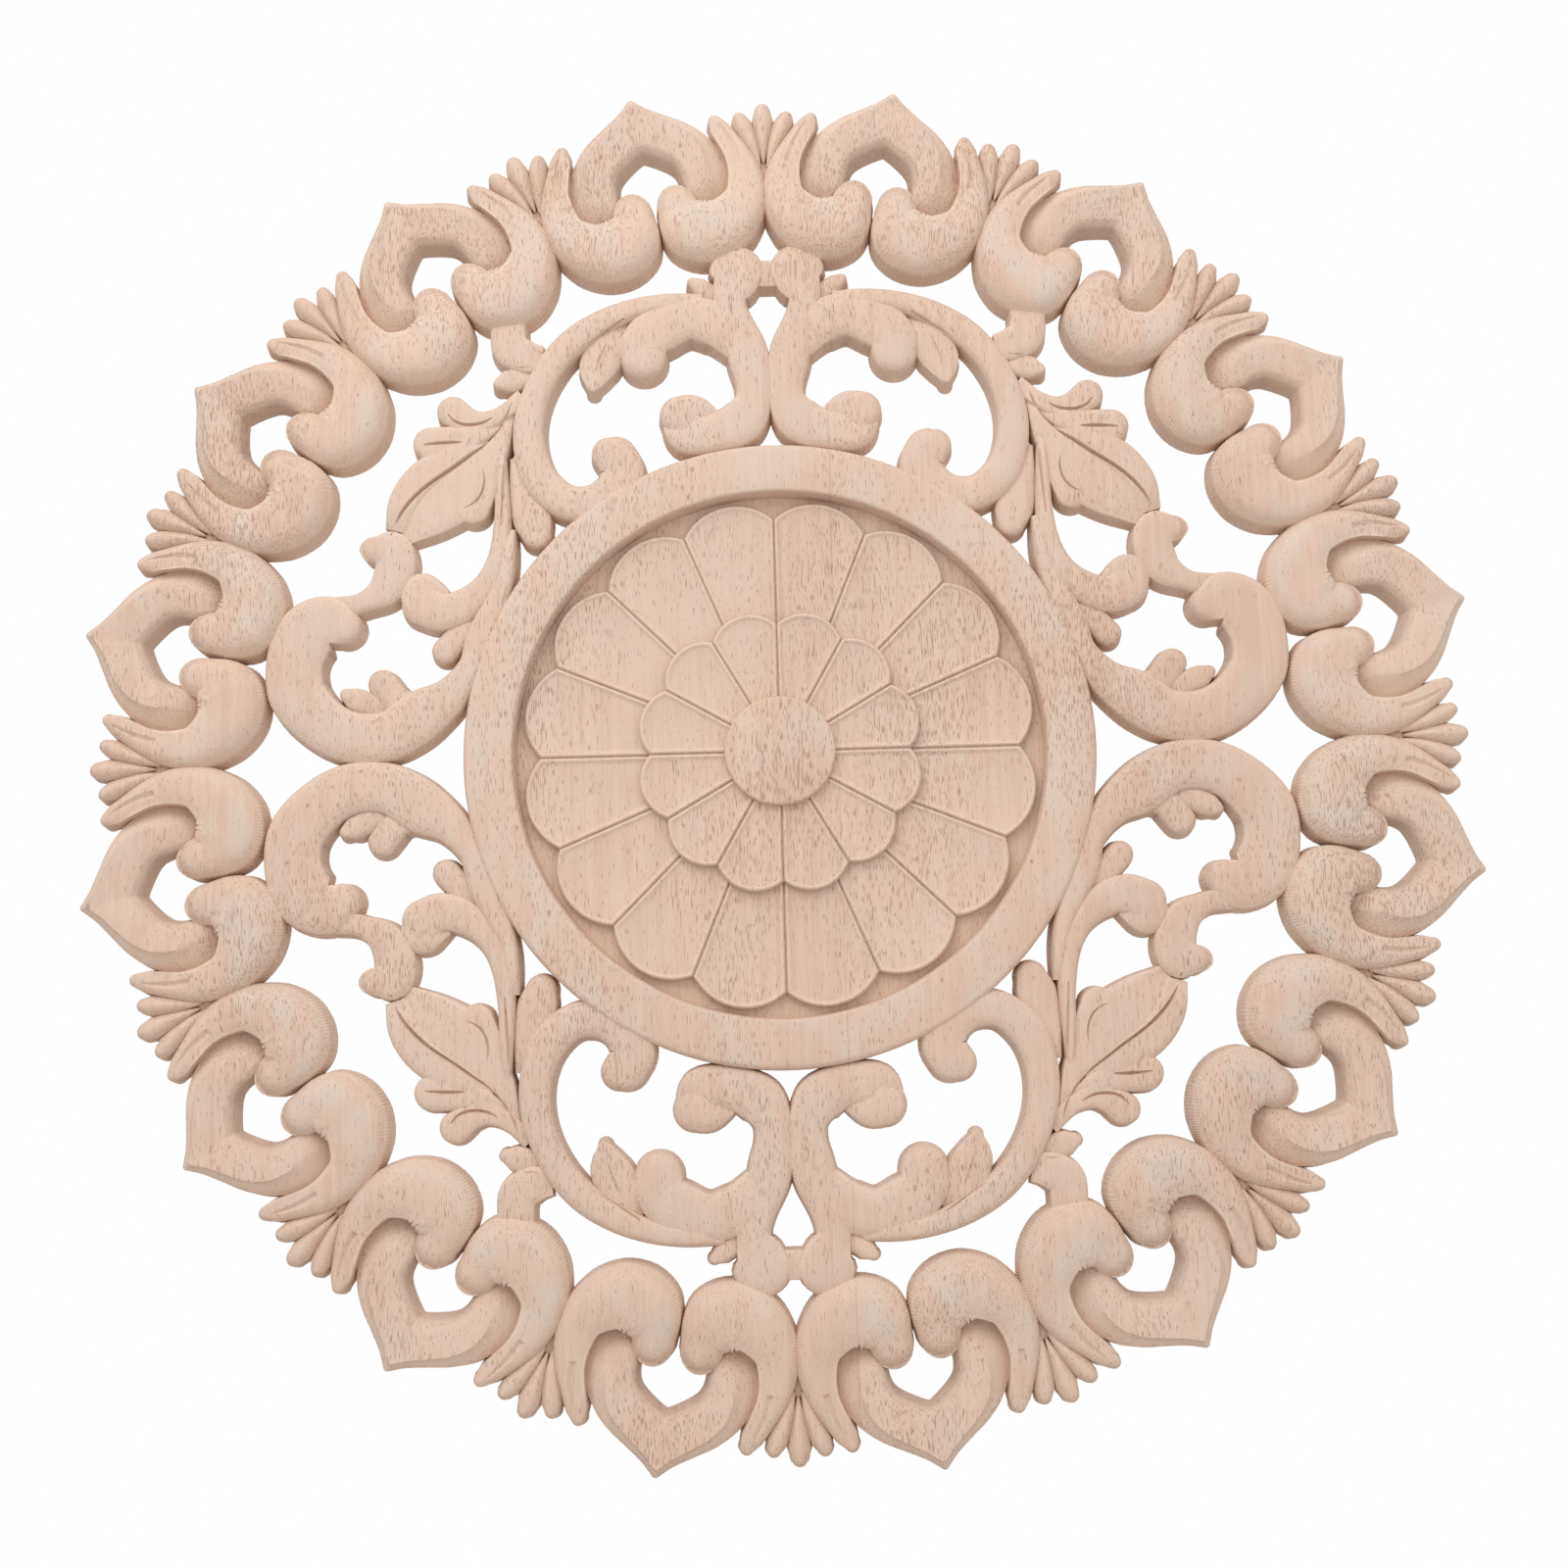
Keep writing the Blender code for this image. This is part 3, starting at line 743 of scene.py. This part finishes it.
def band(points, edge, rim=None, crest=None, caps=(False, True), top=FLAT_TOP, whole=False):
    """The one or two parts of a band along a path, as lists of sections. A section is its foot pair, its
    upper pair, the height at a place, the distance along and how the strips lie across."""
    rim = edge if rim is None else rim
    rows = []
    for point in points:
        height = point[3] if len(point) > 3 else crest
        rows.append([point[0] * MM, point[1] * MM, point[2] * MM, height])
    discs = discs_along(rows, caps)

    def rise(share, right, up):
        places = ((math.hypot(right - disc[0], up - disc[1]) / disc[2], *disc[3:]) for disc in discs)
        out, high, rim_share = min(places)
        side = edge + (rim - edge) * rim_share * (1 - share) / 2
        return side + (max(high, side) - side) * crown(out, top)

    line = [(*station, 0.0) for station in stations(rows)]
    start = rounded_end(line[0][:4], True) if caps[0] else []
    end = rounded_end(line[-1][:4], False) if caps[1] else []
    sections = []
    for row, heading, bend, along, reach in start + line + end:
        foot = edge_pair(row, heading, bend, reach, 0.0)
        upper = edge_pair(row, heading, bend, reach, DRAFT)
        sections.append((foot, upper, rise, along, spread))
    headings = [heading for _, heading, _, _, _ in start + line + end]
    for level in (0, 1):
        for side in (0, 1):
            unfold([section[level][side] for section in sections], headings)
    tightness = [abs(bend) * row[2] for row, _, bend, _, _ in line]
    if whole or max(tightness) < TIGHT_BEND:
        return [sections]
    middle = len(start) + tightness.index(max(tightness))
    return [sections[:middle + 2], [lowered(section) for section in sections[middle - 1:]]]


def lowered(section):
    """The section with its top a hair lower, so that two tops that overlap don't lie in one another."""
    foot, upper, rise, along, across = section
    return foot, upper, lambda *spot: rise(*spot) - HAIR, along, across


def toward(a, b, distance):
    """The point at a distance from a on the way to b."""
    share = distance / math.dist(a, b)
    return (a[0] + (b[0] - a[0]) * share, a[1] + (b[1] - a[1]) * share)


def ease(share, marks):
    """Place across for an even count of strips, by straight stretches between the marks."""
    knots = [-1.0]
    for strips in ARCH_STRIPS:
        knots.append(knots[-1] + 2 * strips / sum(ARCH_STRIPS))
    places = (-1.0, *marks, 1.0)
    for low, high, first, second in zip(knots, knots[1:], places, places[1:]):
        if share <= high + ROUNDING:
            return first + (second - first) * (share - low) / (high - low)
    return 1.0


def arch():
    """Sections of a whole arch: a narrow chamfer, a ridge that drifts inwards, a broad top and a bevel
    inside."""
    rows = []
    for outer, inner, *levels, ridge_place, arris_place in ARCH_LEG:
        rows.append([*(v * MM for v in (*outer, *inner, *levels)), ridge_place, arris_place])
    leg = smooth(rows, ARCH_STEPS)
    sections = []
    along = 0.0
    for k, (ax, az, bx, bz, *levels) in enumerate(leg):
        if k:
            along += math.dist(leg[k - 1][:2], (ax, az))

        def rise(share, right, up, levels=tuple(levels)):
            outer_edge, ridge, arris, inner_edge, ridge_place, arris_place = levels
            if share <= ridge_place:
                return outer_edge + (ridge - outer_edge) * ((share + 1) / (ridge_place + 1)) ** CHAMFER_RISE
            if share <= arris_place:
                out = (share - ridge_place) / (arris_place - ridge_place)
                return ridge + (arris - ridge) * out ** BROAD_FALL
            out = (share - arris_place) / (1 - arris_place)
            return inner_edge + (arris - inner_edge) * crown(out, BEVEL_TOP)

        def across(share, marks=tuple(levels[-2:])):
            return ease(share, marks)

        foot = ((ax, az), (bx, bz))
        upper = (toward(*foot, DRAFT), toward(*foot[::-1], ARCH_DRAFT))
        sections.append((foot, upper, rise, along, across))
    other = []
    for foot, upper, rise, along, across in sections[::-1]:
        flipped = [tuple((-x, z) for x, z in pair) for pair in (foot, upper)]
        other.append((*flipped, rise, -along, across))
    return other + sections


def spread(share):
    """Strips across a top that are narrower towards its edges."""
    return math.sin(share * math.pi / 2)


def raised_row(count):
    """A row of faces with the same row above it and walls between, and what belongs to the raised row."""
    bm = bmesh.new()
    grid = bmesh.ops.create_grid(bm, x_segments=count, y_segments=1, size=1)["verts"]
    faces = list({face for vert in grid for face in vert.link_faces})
    raised = bmesh.ops.extrude_face_region(bm, geom=faces)["geom"]
    for item in raised:
        if isinstance(item, bmesh.types.BMVert):
            item.co.z = 1
    bm.loops.layers.uv.new("run")
    return bm, raised


def solid_band(parts, strips=STRIPS):
    """Meshes of a band's parts."""
    return [solid_part(sections, strips) for sections in parts]


def solid_part(sections, strips):
    """Mesh of a part of a band: the raised row is cut lengthwise, then each point is put in place."""
    count = len(sections) - 1
    bm, raised = raised_row(count)
    crossing = []
    for item in raised:
        if isinstance(item, bmesh.types.BMEdge) and abs(item.verts[0].co.y - item.verts[1].co.y) > 1:
            crossing.append(item)
    bmesh.ops.subdivide_edges(bm, edges=crossing, cuts=strips - 1)
    run = bm.loops.layers.uv["run"]
    for face in bm.faces:
        for loop in face.loops:
            x, y, _ = loop.vert.co
            loop[run].uv = (sections[round((x + 1) / 2 * count)][3], y)
    for vert in bm.verts:
        foot, upper, rise, _, across = sections[round((vert.co.x + 1) / 2 * count)]
        on_top = vert.co.z > 0.5
        share = across(vert.co.y)
        a, b = upper if on_top else foot
        part = (share + 1) / 2
        right = a[0] + (b[0] - a[0]) * part
        up = a[1] + (b[1] - a[1]) * part
        vert.co = (right, -rise(share, right, up) if on_top else 0, up)
    return finished_mesh(bm)


def finished_mesh(bm):
    """The mesh with its faces turned outwards."""
    bmesh.ops.recalc_face_normals(bm, faces=bm.faces)
    mesh = bpy.data.meshes.new("carving")
    bm.to_mesh(mesh)
    bm.free()
    return mesh


def place(meshes, matrix, collection):
    """A copy of each mesh, turned or mirrored, as a solid of its own."""
    for mesh in meshes:
        bm = bmesh.new()
        bm.from_mesh(mesh)
        bmesh.ops.transform(bm, matrix=matrix, verts=bm.verts)
        made = bpy.data.objects.new("carving", finished_mesh(bm))
        collection.objects.link(made)


def quarters(meshes, collection):
    """The meshes in all four quarters."""
    for x in (1, -1):
        for z in (1, -1):
            place(meshes, Matrix.Diagonal((x, 1, z, 1)), collection)


def around(meshes, count, offset, collection, both=False):
    """The meshes turned about the middle of the rosette, with their mirror images where both is set."""
    for k in range(count):
        turn = Matrix.Rotation(2 * math.pi * (k + offset) / count, 4, "Y")
        place(meshes, turn, collection)
        if both:
            place(meshes, turn @ Matrix.Diagonal((-1, 1, 1, 1)), collection)


def add_border(collection):
    """Arches, heads with their tails, and fans."""
    head = band(SCROLL_HEAD, HEAD_EDGE, rim=HEAD_RIM, caps=(True, True), top=DOME_TOP, whole=True)
    around(solid_band([arch()], sum(ARCH_STRIPS)), ARCH_COUNT, 0.5, collection)
    bend = band(HEAD_BEND, HEAD_BEND_EDGE, caps=(True, True), top=DOME_TOP)
    around(solid_band(head), ARCH_COUNT, 0.5, collection, both=True)
    around(solid_band(bend, FAN_STRIPS), ARCH_COUNT, 0.5, collection, both=True)
    middle = band(FAN_MIDDLE, FAN_EDGE, top=PETAL_TOP)
    side = band(FAN_SIDE, FAN_EDGE, top=PETAL_TOP)
    root = band(FAN_ROOT, FAN_ROOT_EDGE, caps=(True, True))
    around(solid_band(middle, FAN_STRIPS), ARCH_COUNT, 0, collection)
    around(solid_band(side, FAN_STRIPS), ARCH_COUNT, 0, collection, both=True)
    around(solid_band(root, FAN_STRIPS), ARCH_COUNT, 0, collection)


def add_scrollwork(collection):
    """Scrolls, leaves and leaflets of the four quarters. Steps keep the tops of crossing ones apart."""
    scrolls = (
        (UPRIGHT_SCROLL, 0, (False, True)),
        (UPRIGHT_CURL, -1, (False, True)),
        (LEAF_LOBE, 4, (False, True)),
        (LONG_ARM, 2, (False, True)),
        (LONG_ARM_TIP, -3, (False, True)),
        (CONNECTOR, -4, (True, False)),
        (STEM, -2, (False, True)),
        (STEM_CURL, -3, (False, True)),
        (SIDE_SCROLL, 3, (False, True)),
        (BORDER_KNOB, -6, (False, False)),
    )
    for points, steps, caps in scrolls:
        crest = SCROLL_CREST + steps * STEP
        quarters(solid_band(band(points, SCROLL_EDGE, crest=crest, caps=caps)), collection)
    leaf_parts = (
        (LEAF_CURL, 0, (False, True)),
        (LEAF_SHOULDER, 2, (False, True)),
        (LEAF_UPPER, 4, (False, False)),
        (LEAF_LOWER, -4, (False, False)),
        (LEAF_FOOT, -6, (False, True)),
    )
    for points, steps, caps in leaf_parts:
        crest = LEAF_CREST + steps * STEP
        sections = band(points, LEAF_EDGE, crest=crest, caps=caps, top=LEAF_TOP)
        quarters(solid_band(sections), collection)
    for points in (LEAFLET, SMALL_LEAFLET, BUD, SIDE_NUB, SIDE_LEAFLET, HANGING_LEAFLET, DROP_LEAF):
        sections = band(points, BUD_EDGE, crest=BUD_CREST, top=FLAT_TOP)
        quarters(solid_band(sections), collection)
    bridge = band(SCROLL_BRIDGE, SCROLL_EDGE, crest=SCROLL_CREST - 8 * STEP, caps=(False, False))
    for z in (1, -1):
        place(solid_band(bridge), Matrix.Diagonal((1, 1, z, 1)), collection)


def petal(count, start, valley, reach, top, fall):
    """Mesh of a petal: straight sides and a round end, with a bevel all round, a bead inside it and a low
    middle."""
    slope = math.tan(math.pi / count)
    half = valley * slope + PETAL_OVERLAP
    radius = (half ** 2 + (reach - valley) ** 2) / (2 * (reach - valley))
    centre = reach - radius
    last = math.asin(half / radius)
    rows = [(start, start * slope + PETAL_OVERLAP), (valley, half)]
    for k in range(1, PETAL_ROWS):
        turn = last * (1 - k / PETAL_ROWS)
        rows.append((centre + radius * math.cos(turn), radius * math.sin(turn)))
    rows.append((reach - PETAL_TIP, math.sqrt(2 * radius * PETAL_TIP)))
    bm, raised = raised_row(len(rows) - 1)
    for vert in bm.verts:
        up, width = rows[round((vert.co.x + 1) / 2 * (len(rows) - 1))]
        vert.co = (vert.co.y * width, -vert.co.z, up)
    faces = [item for item in raised if isinstance(item, bmesh.types.BMFace)]
    middle = bmesh.ops.dissolve_faces(bm, faces=faces)["region"][0]
    run = bm.loops.layers.uv["run"]
    inside = 0.0
    for distance, change in PETAL_PROFILE:
        if distance:
            bmesh.ops.inset_region(bm, faces=[middle], thickness=distance - inside, use_even_offset=True)
        inside = distance
        for vert in middle.verts:
            vert.co.y = -(top - fall * (reach - vert.co.z) / (reach - start) + change)
            for loop in vert.link_loops:
                loop[run].uv = (vert.co.z, 1 - distance / PETAL_EDGE)
    return finished_mesh(bm)


def arc_points(centre, radius, start, end):
    """Points of an arc of a turned outline, angles in degrees, from (radius, height) of its centre."""
    found = []
    for k in range(ROUND_STEPS + 1):
        angle = math.radians(start + (end - start) * k / ROUND_STEPS)
        found.append((centre[0] + radius * math.cos(angle), centre[1] + radius * math.sin(angle)))
    return found


def turned(outline, segments):
    """Mesh of a solid turned about the Y axis from (radius, height) points."""
    bm = bmesh.new()
    verts = [bm.verts.new((radius, -height, 0)) for radius, height in outline]
    edges = [bm.edges.new(pair) for pair in zip(verts, verts[1:])]
    bmesh.ops.spin(
        bm, geom=verts + edges, cent=(0, 0, 0), axis=(0, 1, 0), angle=2 * math.pi,
        steps=segments, use_merge=True,
    )
    bmesh.ops.remove_doubles(bm, verts=bm.verts, dist=SAME_POINT)
    bm.loops.layers.uv.new("run")
    return finished_mesh(bm)


def ring_outline():
    """Outline of the ring with the sunk dish inside it."""
    shoulder = RING_TOP - RING_ROUND
    lip = RING_TOP - RING_LIP
    return [
        (0, 0),
        (RING_OUTER, 0),
        *arc_points((RING_OUTER - RING_ROUND, shoulder), RING_ROUND, 0, 90),
        *arc_points((RING_INNER + RING_LIP, lip), RING_LIP, 90, 180),
        (RING_INNER - DRAFT, DISH_FLOOR),
        (0, DISH_FLOOR),
    ]


def disc_outline(radius, top, round_over):
    """Outline of a flat disc with a rounded edge."""
    edge = arc_points((radius - round_over, top - round_over), round_over, 0, 90)
    return [(0, 0), (radius, 0), *edge, (0, top)]


def add_flower(collection):
    """Two rings of petals on their beds, and the button."""
    outer = petal(
        OUTER_PETALS, OUTER_PETAL_START, OUTER_PETAL_VALLEY, OUTER_PETAL_REACH, OUTER_PETAL_TOP,
        OUTER_PETAL_FALL,
    )
    inner = petal(
        INNER_PETALS, INNER_PETAL_START, INNER_PETAL_VALLEY, INNER_PETAL_REACH, INNER_PETAL_TOP,
        INNER_PETAL_FALL,
    )
    around([outer], OUTER_PETALS, 0.5, collection)
    around([inner], INNER_PETALS, 0.5, collection)
    discs = (
        (OUTER_BED_RADIUS, OUTER_BED_TOP, BUTTON_ROUND),
        (INNER_BED_RADIUS, INNER_BED_TOP, BUTTON_ROUND),
        (BUTTON_RADIUS, BUTTON_TOP, BUTTON_ROUND),
    )
    for disc in discs:
        place([turned(disc_outline(*disc), BUTTON_TURNS)], Matrix(), collection)


def cut(points, surface):
    """Mesh of the wood that a V-shaped tool takes out along a path, below a surface."""
    rows = [[v * MM for v in point] for point in points]
    sections = []
    for row, heading, _, along in stations(rows):
        depth = row[3]
        wide = row[2] * (depth + CUT_HEADROOM) / depth
        across = (-heading[1], heading[0])
        pairs = []
        for half in (CUT_BOTTOM, wide):
            left = (row[0] + across[0] * half, row[1] + across[1] * half)
            right = (row[0] - across[0] * half, row[1] - across[1] * half)
            pairs.append((left, right))
        sections.append((*pairs, depth, along))
    count = len(sections) - 1
    bm, _ = raised_row(count)
    for vert in bm.verts:
        bottom, upper, depth, _ = sections[round((vert.co.x + 1) / 2 * count)]
        above = vert.co.z > 0.5
        a, b = upper if above else bottom
        x, z = a if vert.co.y < 0 else b
        vert.co = (x, -(surface + CUT_HEADROOM) if above else depth - surface, z)
    return finished_mesh(bm)


def add_cuts(collection):
    """Cuts in the leaves, lobes, stems and tails."""
    for points in (MIDRIB, CURL_CUT, SHOULDER_CUT, FOOT_CUT):
        quarters([cut(points, LEAF_CREST)], collection)
    for points in (KNOB_CUT, LOBE_CUT, STEM_CUT):
        quarters([cut(points, SCROLL_CREST - 4 * STEP)], collection)
    quarters([cut(LEAFLET_CUT, BUD_CREST)], collection)
    around([cut(TAIL_CUT, TAIL_CREST)], ARCH_COUNT, 0.5, collection, both=True)


def new_collection(name, fill):
    """A collection in the scene, filled by a function."""
    made = bpy.data.collections.new(name)
    bpy.context.scene.collection.children.link(made)
    fill(made)
    return made


def combine(piece, operation, collection):
    """Joins the solids of a collection to the piece, or takes them out of it."""
    modifier = piece.modifiers.new(operation, "BOOLEAN")
    modifier.operation = operation
    modifier.solver = "MANIFOLD"
    modifier.operand_type = "COLLECTION"
    modifier.collection = collection


def clean(mesh):
    """Takes out what the joins leave: flakes, which are two faces back to back, and points on the same
    spot."""
    bm = bmesh.new()
    bm.from_mesh(mesh)
    flakes = []
    for face in bm.faces:
        neighbours = {near for edge in face.edges for near in edge.link_faces}
        if len(neighbours) == 2:
            flakes.append(face)
    bmesh.ops.delete(bm, geom=flakes, context="FACES")
    bmesh.ops.remove_doubles(bm, verts=bm.verts, dist=SAME_SPOT)
    bm.to_mesh(mesh)
    bm.free()


def carved_rosette():
    """The whole carved board: ring and dish, all shapes joined to them, and the cuts taken out."""
    piece = bpy.data.objects.new("carved_rosette", turned(ring_outline(), RING_TURNS))
    bpy.context.scene.collection.objects.link(piece)
    shapes = new_collection("shapes", fill_shapes)
    cuts = new_collection("cuts", add_cuts)
    combine(piece, "UNION", shapes)
    combine(piece, "DIFFERENCE", cuts)
    bpy.context.view_layer.update()
    graph = bpy.context.evaluated_depsgraph_get()
    mesh = bpy.data.meshes.new_from_object(piece.evaluated_get(graph))
    piece.modifiers.clear()
    piece.data = mesh
    clean(mesh)
    for group in (shapes, cuts):
        for helper in list(group.objects):
            bpy.data.objects.remove(helper)
        bpy.data.collections.remove(group)
    mesh.shade_smooth()
    mesh.set_sharp_from_angle(angle=CREASE_ANGLE)
    for face in mesh.polygons:
        if face.center.y > -BACK_DEPTH and face.normal.y > BACK_FACING:
            face.use_smooth = False
    return piece


def fill_shapes(collection):
    """Everything that is joined to the ring."""
    add_border(collection)
    add_scrollwork(collection)
    add_flower(collection)


class Value:
    """A number, colour or vector that a node gives. Arithmetic on it adds Math nodes."""

    def __init__(self, finish, socket):
        self.finish = finish
        self.socket = socket

    def maths(self, operation, *others):
        """The result of a Math node on this value and others."""
        sockets = dict(enumerate((self, *others)))
        return self.finish.node("ShaderNodeMath", {"operation": operation}, sockets)

    def __add__(self, other):
        return self.maths("ADD", other)

    def __mul__(self, other):
        return self.maths("MULTIPLY", other)

    def __sub__(self, other):
        return self.maths("SUBTRACT", other)

    def __rsub__(self, other):
        return self * -1 + other

    __radd__ = __add__
    __rmul__ = __mul__


class Finish:
    """A material and the one way in which its nodes are made."""

    def __init__(self, name):
        self.material = bpy.data.materials.new(name)
        self.material.use_nodes = True
        self.tree = self.material.node_tree
        self.shader = self.tree.nodes["Principled BSDF"]

    def node(self, kind, settings=None, sockets=None, out=0):
        """Adds a node, sets it, fills its sockets and gives one of its outputs."""
        made = self.tree.nodes.new(kind)
        for key, value in (settings or {}).items():
            setattr(made, key, value)
        for key, value in (sockets or {}).items():
            self.fill(made.inputs[key], value)
        return Value(self, made.outputs[out])

    def fill(self, socket, value):
        """Links a value to a socket, or sets a plain number or colour on it."""
        if isinstance(value, Value):
            self.tree.links.new(value.socket, socket)
        else:
            socket.default_value = value

    def step(self, value, low, high):
        """0 below low, 1 above high and smooth between."""
        sockets = {"Value": value, "From Min": low, "From Max": high}
        return self.node("ShaderNodeMapRange", {"interpolation_type": "SMOOTHSTEP"}, sockets)

    def mix(self, share, first, second):
        """Colour between two colours."""
        return self.node("ShaderNodeMix", {"data_type": "RGBA"}, {0: share, 6: first, 7: second}, out=2)

    def part(self, vector, axis):
        """One of the three numbers of a vector."""
        return self.node("ShaderNodeSeparateXYZ", {}, {0: vector}, out=axis)

    def noise(self, place, scales, detail=2.0, roughness=0.5):
        """Noise stretched by a scale for each axis."""
        stretched = self.node("ShaderNodeMapping", {}, {"Vector": place, "Scale": scales})
        sockets = {"Vector": stretched, "Scale": 1.0, "Detail": detail, "Roughness": roughness}
        return self.node("ShaderNodeTexNoise", {}, sockets)


def bare_wood():
    """Pale close wood with upright grain, short brown pores, glued boards and marks of the carving tools,
    with a painted highlight along the arrises and painted sheen on the highest tops.
    """
    finish = Finish("bare pale wood")
    place = finish.node("ShaderNodeTexCoord", {}, {}, out="Object")
    normal = finish.node("ShaderNodeTexCoord", {}, {}, out="Normal")
    run = finish.node("ShaderNodeUVMap", {"uv_map": "run"}, {})
    right = finish.part(place, 0)
    height = finish.part(place, 1) * -1
    level = finish.part(normal, 1).maths("ABSOLUTE")
    flank = 1 - finish.step(level, *FLANK_RANGE)

    cloud = finish.noise(place, CLOUD, detail=1)
    streaks = finish.noise(place, STREAKS, detail=1)
    fibres = finish.noise(place, FIBRES, detail=0)
    tone = (cloud - 0.5) * CLOUD_WEIGHT + (streaks - 0.5) * STREAK_WEIGHT
    tone = tone + (fibres - 0.5) * FIBRE_WEIGHT + MIDDLE_TONE
    joint_line = 0.0
    for joint, first, second, dark in zip(BOARD_JOINTS, BOARD_TONES, BOARD_TONES[1:], JOINT_DARK):
        beyond = finish.step(right, joint - JOINT_WIDTH, joint + JOINT_WIDTH)
        tone = tone + beyond * ((second - first) * BOARD_WEIGHT)
        away = (right - joint).maths("ABSOLUTE")
        line = 1 - finish.step(away, *(JOINT_WIDTH * share for share in JOINT_LINE))
        joint_line = line * dark + joint_line
    colour = finish.mix(finish.step(tone, 0.0, 1.0), PALE_WOOD, ROSY_WOOD)

    # Paler greyish patches of the wood's own tone everywhere, made stronger on the highest tops as painted
    # sheen
    grey_patches = finish.step(finish.noise(place, GREY_PATCHES, detail=1), *GREY_PATCH_RANGE)
    grey_and_sheen = grey_patches * (finish.step(height, *PAINTED_SHEEN_HEIGHTS) * PAINTED_SHEEN_TOP + GREY_PATCH_BASE)
    colour = finish.mix(grey_and_sheen, colour, GREY_PATCH_AND_SHEEN)

    pore_noise = finish.noise(place, PORES, detail=0)
    pore_patch = finish.noise(place, PORE_PATCHES, detail=0)
    pores = finish.step(pore_noise + (pore_patch - 0.5) * PORE_GATHER, *PORE_RANGE)
    colour = finish.mix(pores * PORE_SHARE, colour, PORE_BROWN)
    colour = finish.mix(joint_line, colour, PORE_BROWN)

    along = finish.part(run, 0)
    wander = finish.noise(place, WANDER, detail=0)
    teeth = (along * (2 * math.pi / TOOTH_PITCH) + wander * TOOTH_WANDER).maths("SINE")
    hatch = teeth * flank
    colour = finish.mix((hatch * 0.5 + 0.5) * flank * HATCH_SHARE, colour, HATCH_BROWN)
    # Painted highlight: a pale line along the upper arris of the bands and on the petals' beads
    across = finish.part(run, 1).maths("ABSOLUTE")
    arris = finish.step(across, *ARRIS_HIGHLIGHT_INNER) - finish.step(across, *ARRIS_HIGHLIGHT_OUTER)
    arris = arris * finish.step(height, *ARRIS_HIGHLIGHT_HEIGHTS)
    colour = finish.mix(arris * ARRIS_HIGHLIGHT_SHARE, colour, ARRIS_HIGHLIGHT)
    fuzz = finish.noise(place, FUZZ, detail=1, roughness=0.8)
    colour = finish.mix(finish.step(fuzz, *FUZZ_RANGE) * -FUZZ_SHARE + FUZZ_SHARE, colour, HATCH_BROWN)
    finish.fill(finish.shader.inputs["Base Color"], colour)

    relief = fuzz * FUZZ_RELIEF + hatch * HATCH_RELIEF + fibres * FIBRE_RELIEF - pores * PORE_RELIEF
    sockets = {"Strength": RELIEF_STRENGTH, "Distance": RELIEF_DEPTH, "Height": relief}
    finish.fill(finish.shader.inputs["Normal"], finish.node("ShaderNodeBump", {}, sockets))
    finish.fill(finish.shader.inputs["Roughness"], WOOD_ROUGHNESS + (fuzz - 0.5) * ROUGHNESS_CHANGE)
    finish.shader.inputs["Specular IOR Level"].default_value = WOOD_SPECULAR
    return finish.material


def plain(name, colour):
    """A dull finish of one colour."""
    finish = Finish(name)
    finish.shader.inputs["Base Color"].default_value = colour
    finish.shader.inputs["Roughness"].default_value = FLOOR_ROUGHNESS
    return finish.material


def floor():
    """Pale floor well below the hanging rosette."""
    bm = bmesh.new()
    bmesh.ops.create_grid(bm, x_segments=1, y_segments=1, size=FLOOR_SIZE / 2)
    low = solid_box[0].z - FLOOR_DROP
    bmesh.ops.translate(bm, vec=(0, 0, low), verts=bm.verts)
    mesh = bpy.data.meshes.new("floor")
    bm.to_mesh(mesh)
    bm.free()
    made = bpy.data.objects.new("floor", mesh)
    mesh.materials.append(plain("pale floor", PALE_FLOOR))
    bpy.context.scene.collection.objects.link(made)


def lamp(name, place, size, watts):
    """A square soft light that aims at the rosette."""
    data = bpy.data.lights.new(name, "AREA")
    data.size = size
    data.energy = watts
    made = bpy.data.objects.new(name, data)
    made.location = place
    aim = -made.location
    made.rotation_euler = aim.to_track_quat("-Z", "Y").to_euler()
    bpy.context.scene.collection.objects.link(made)


def room_light():
    """Even white light from all round, seen as pure white behind the rosette."""
    world = bpy.data.worlds.new("studio")
    world.use_nodes = True
    tree = world.node_tree
    tree.nodes.clear()
    path = tree.nodes.new("ShaderNodeLightPath")
    strength = tree.nodes.new("ShaderNodeMapRange")
    strength.inputs["To Min"].default_value = ROOM_LIGHT
    strength.inputs["To Max"].default_value = 1.0
    background = tree.nodes.new("ShaderNodeBackground")
    background.inputs["Color"].default_value = WHITE
    output = tree.nodes.new("ShaderNodeOutputWorld")
    tree.links.new(path.outputs["Is Camera Ray"], strength.inputs["Value"])
    tree.links.new(strength.outputs[0], background.inputs["Strength"])
    tree.links.new(background.outputs[0], output.inputs["Surface"])
    bpy.context.scene.world = world


def camera():
    """The camera at the photograph's view."""
    data = bpy.data.cameras.new("camera")
    data.lens = LENS_MM
    data.sensor_width = SENSOR_MM
    made = bpy.data.objects.new("camera", data)
    made.location = CAMERA_PLACE
    made.rotation_euler = Euler([math.radians(a) for a in CAMERA_TURN])
    bpy.context.scene.collection.objects.link(made)
    bpy.context.scene.camera = made


bpy.context.scene.view_settings.view_transform = "Standard"
camera()
rosette = carved_rosette()
rosette.data.materials.clear()
rosette.data.materials.append(bare_wood())
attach(rosette, "root")
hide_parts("rosette")
floor()
lamp("key", KEY_PLACE, KEY_SIZE, KEY_WATTS)
lamp("fill", FILL_PLACE, FILL_SIZE, FILL_WATTS)
room_light()

bpy.context.view_layer.update()
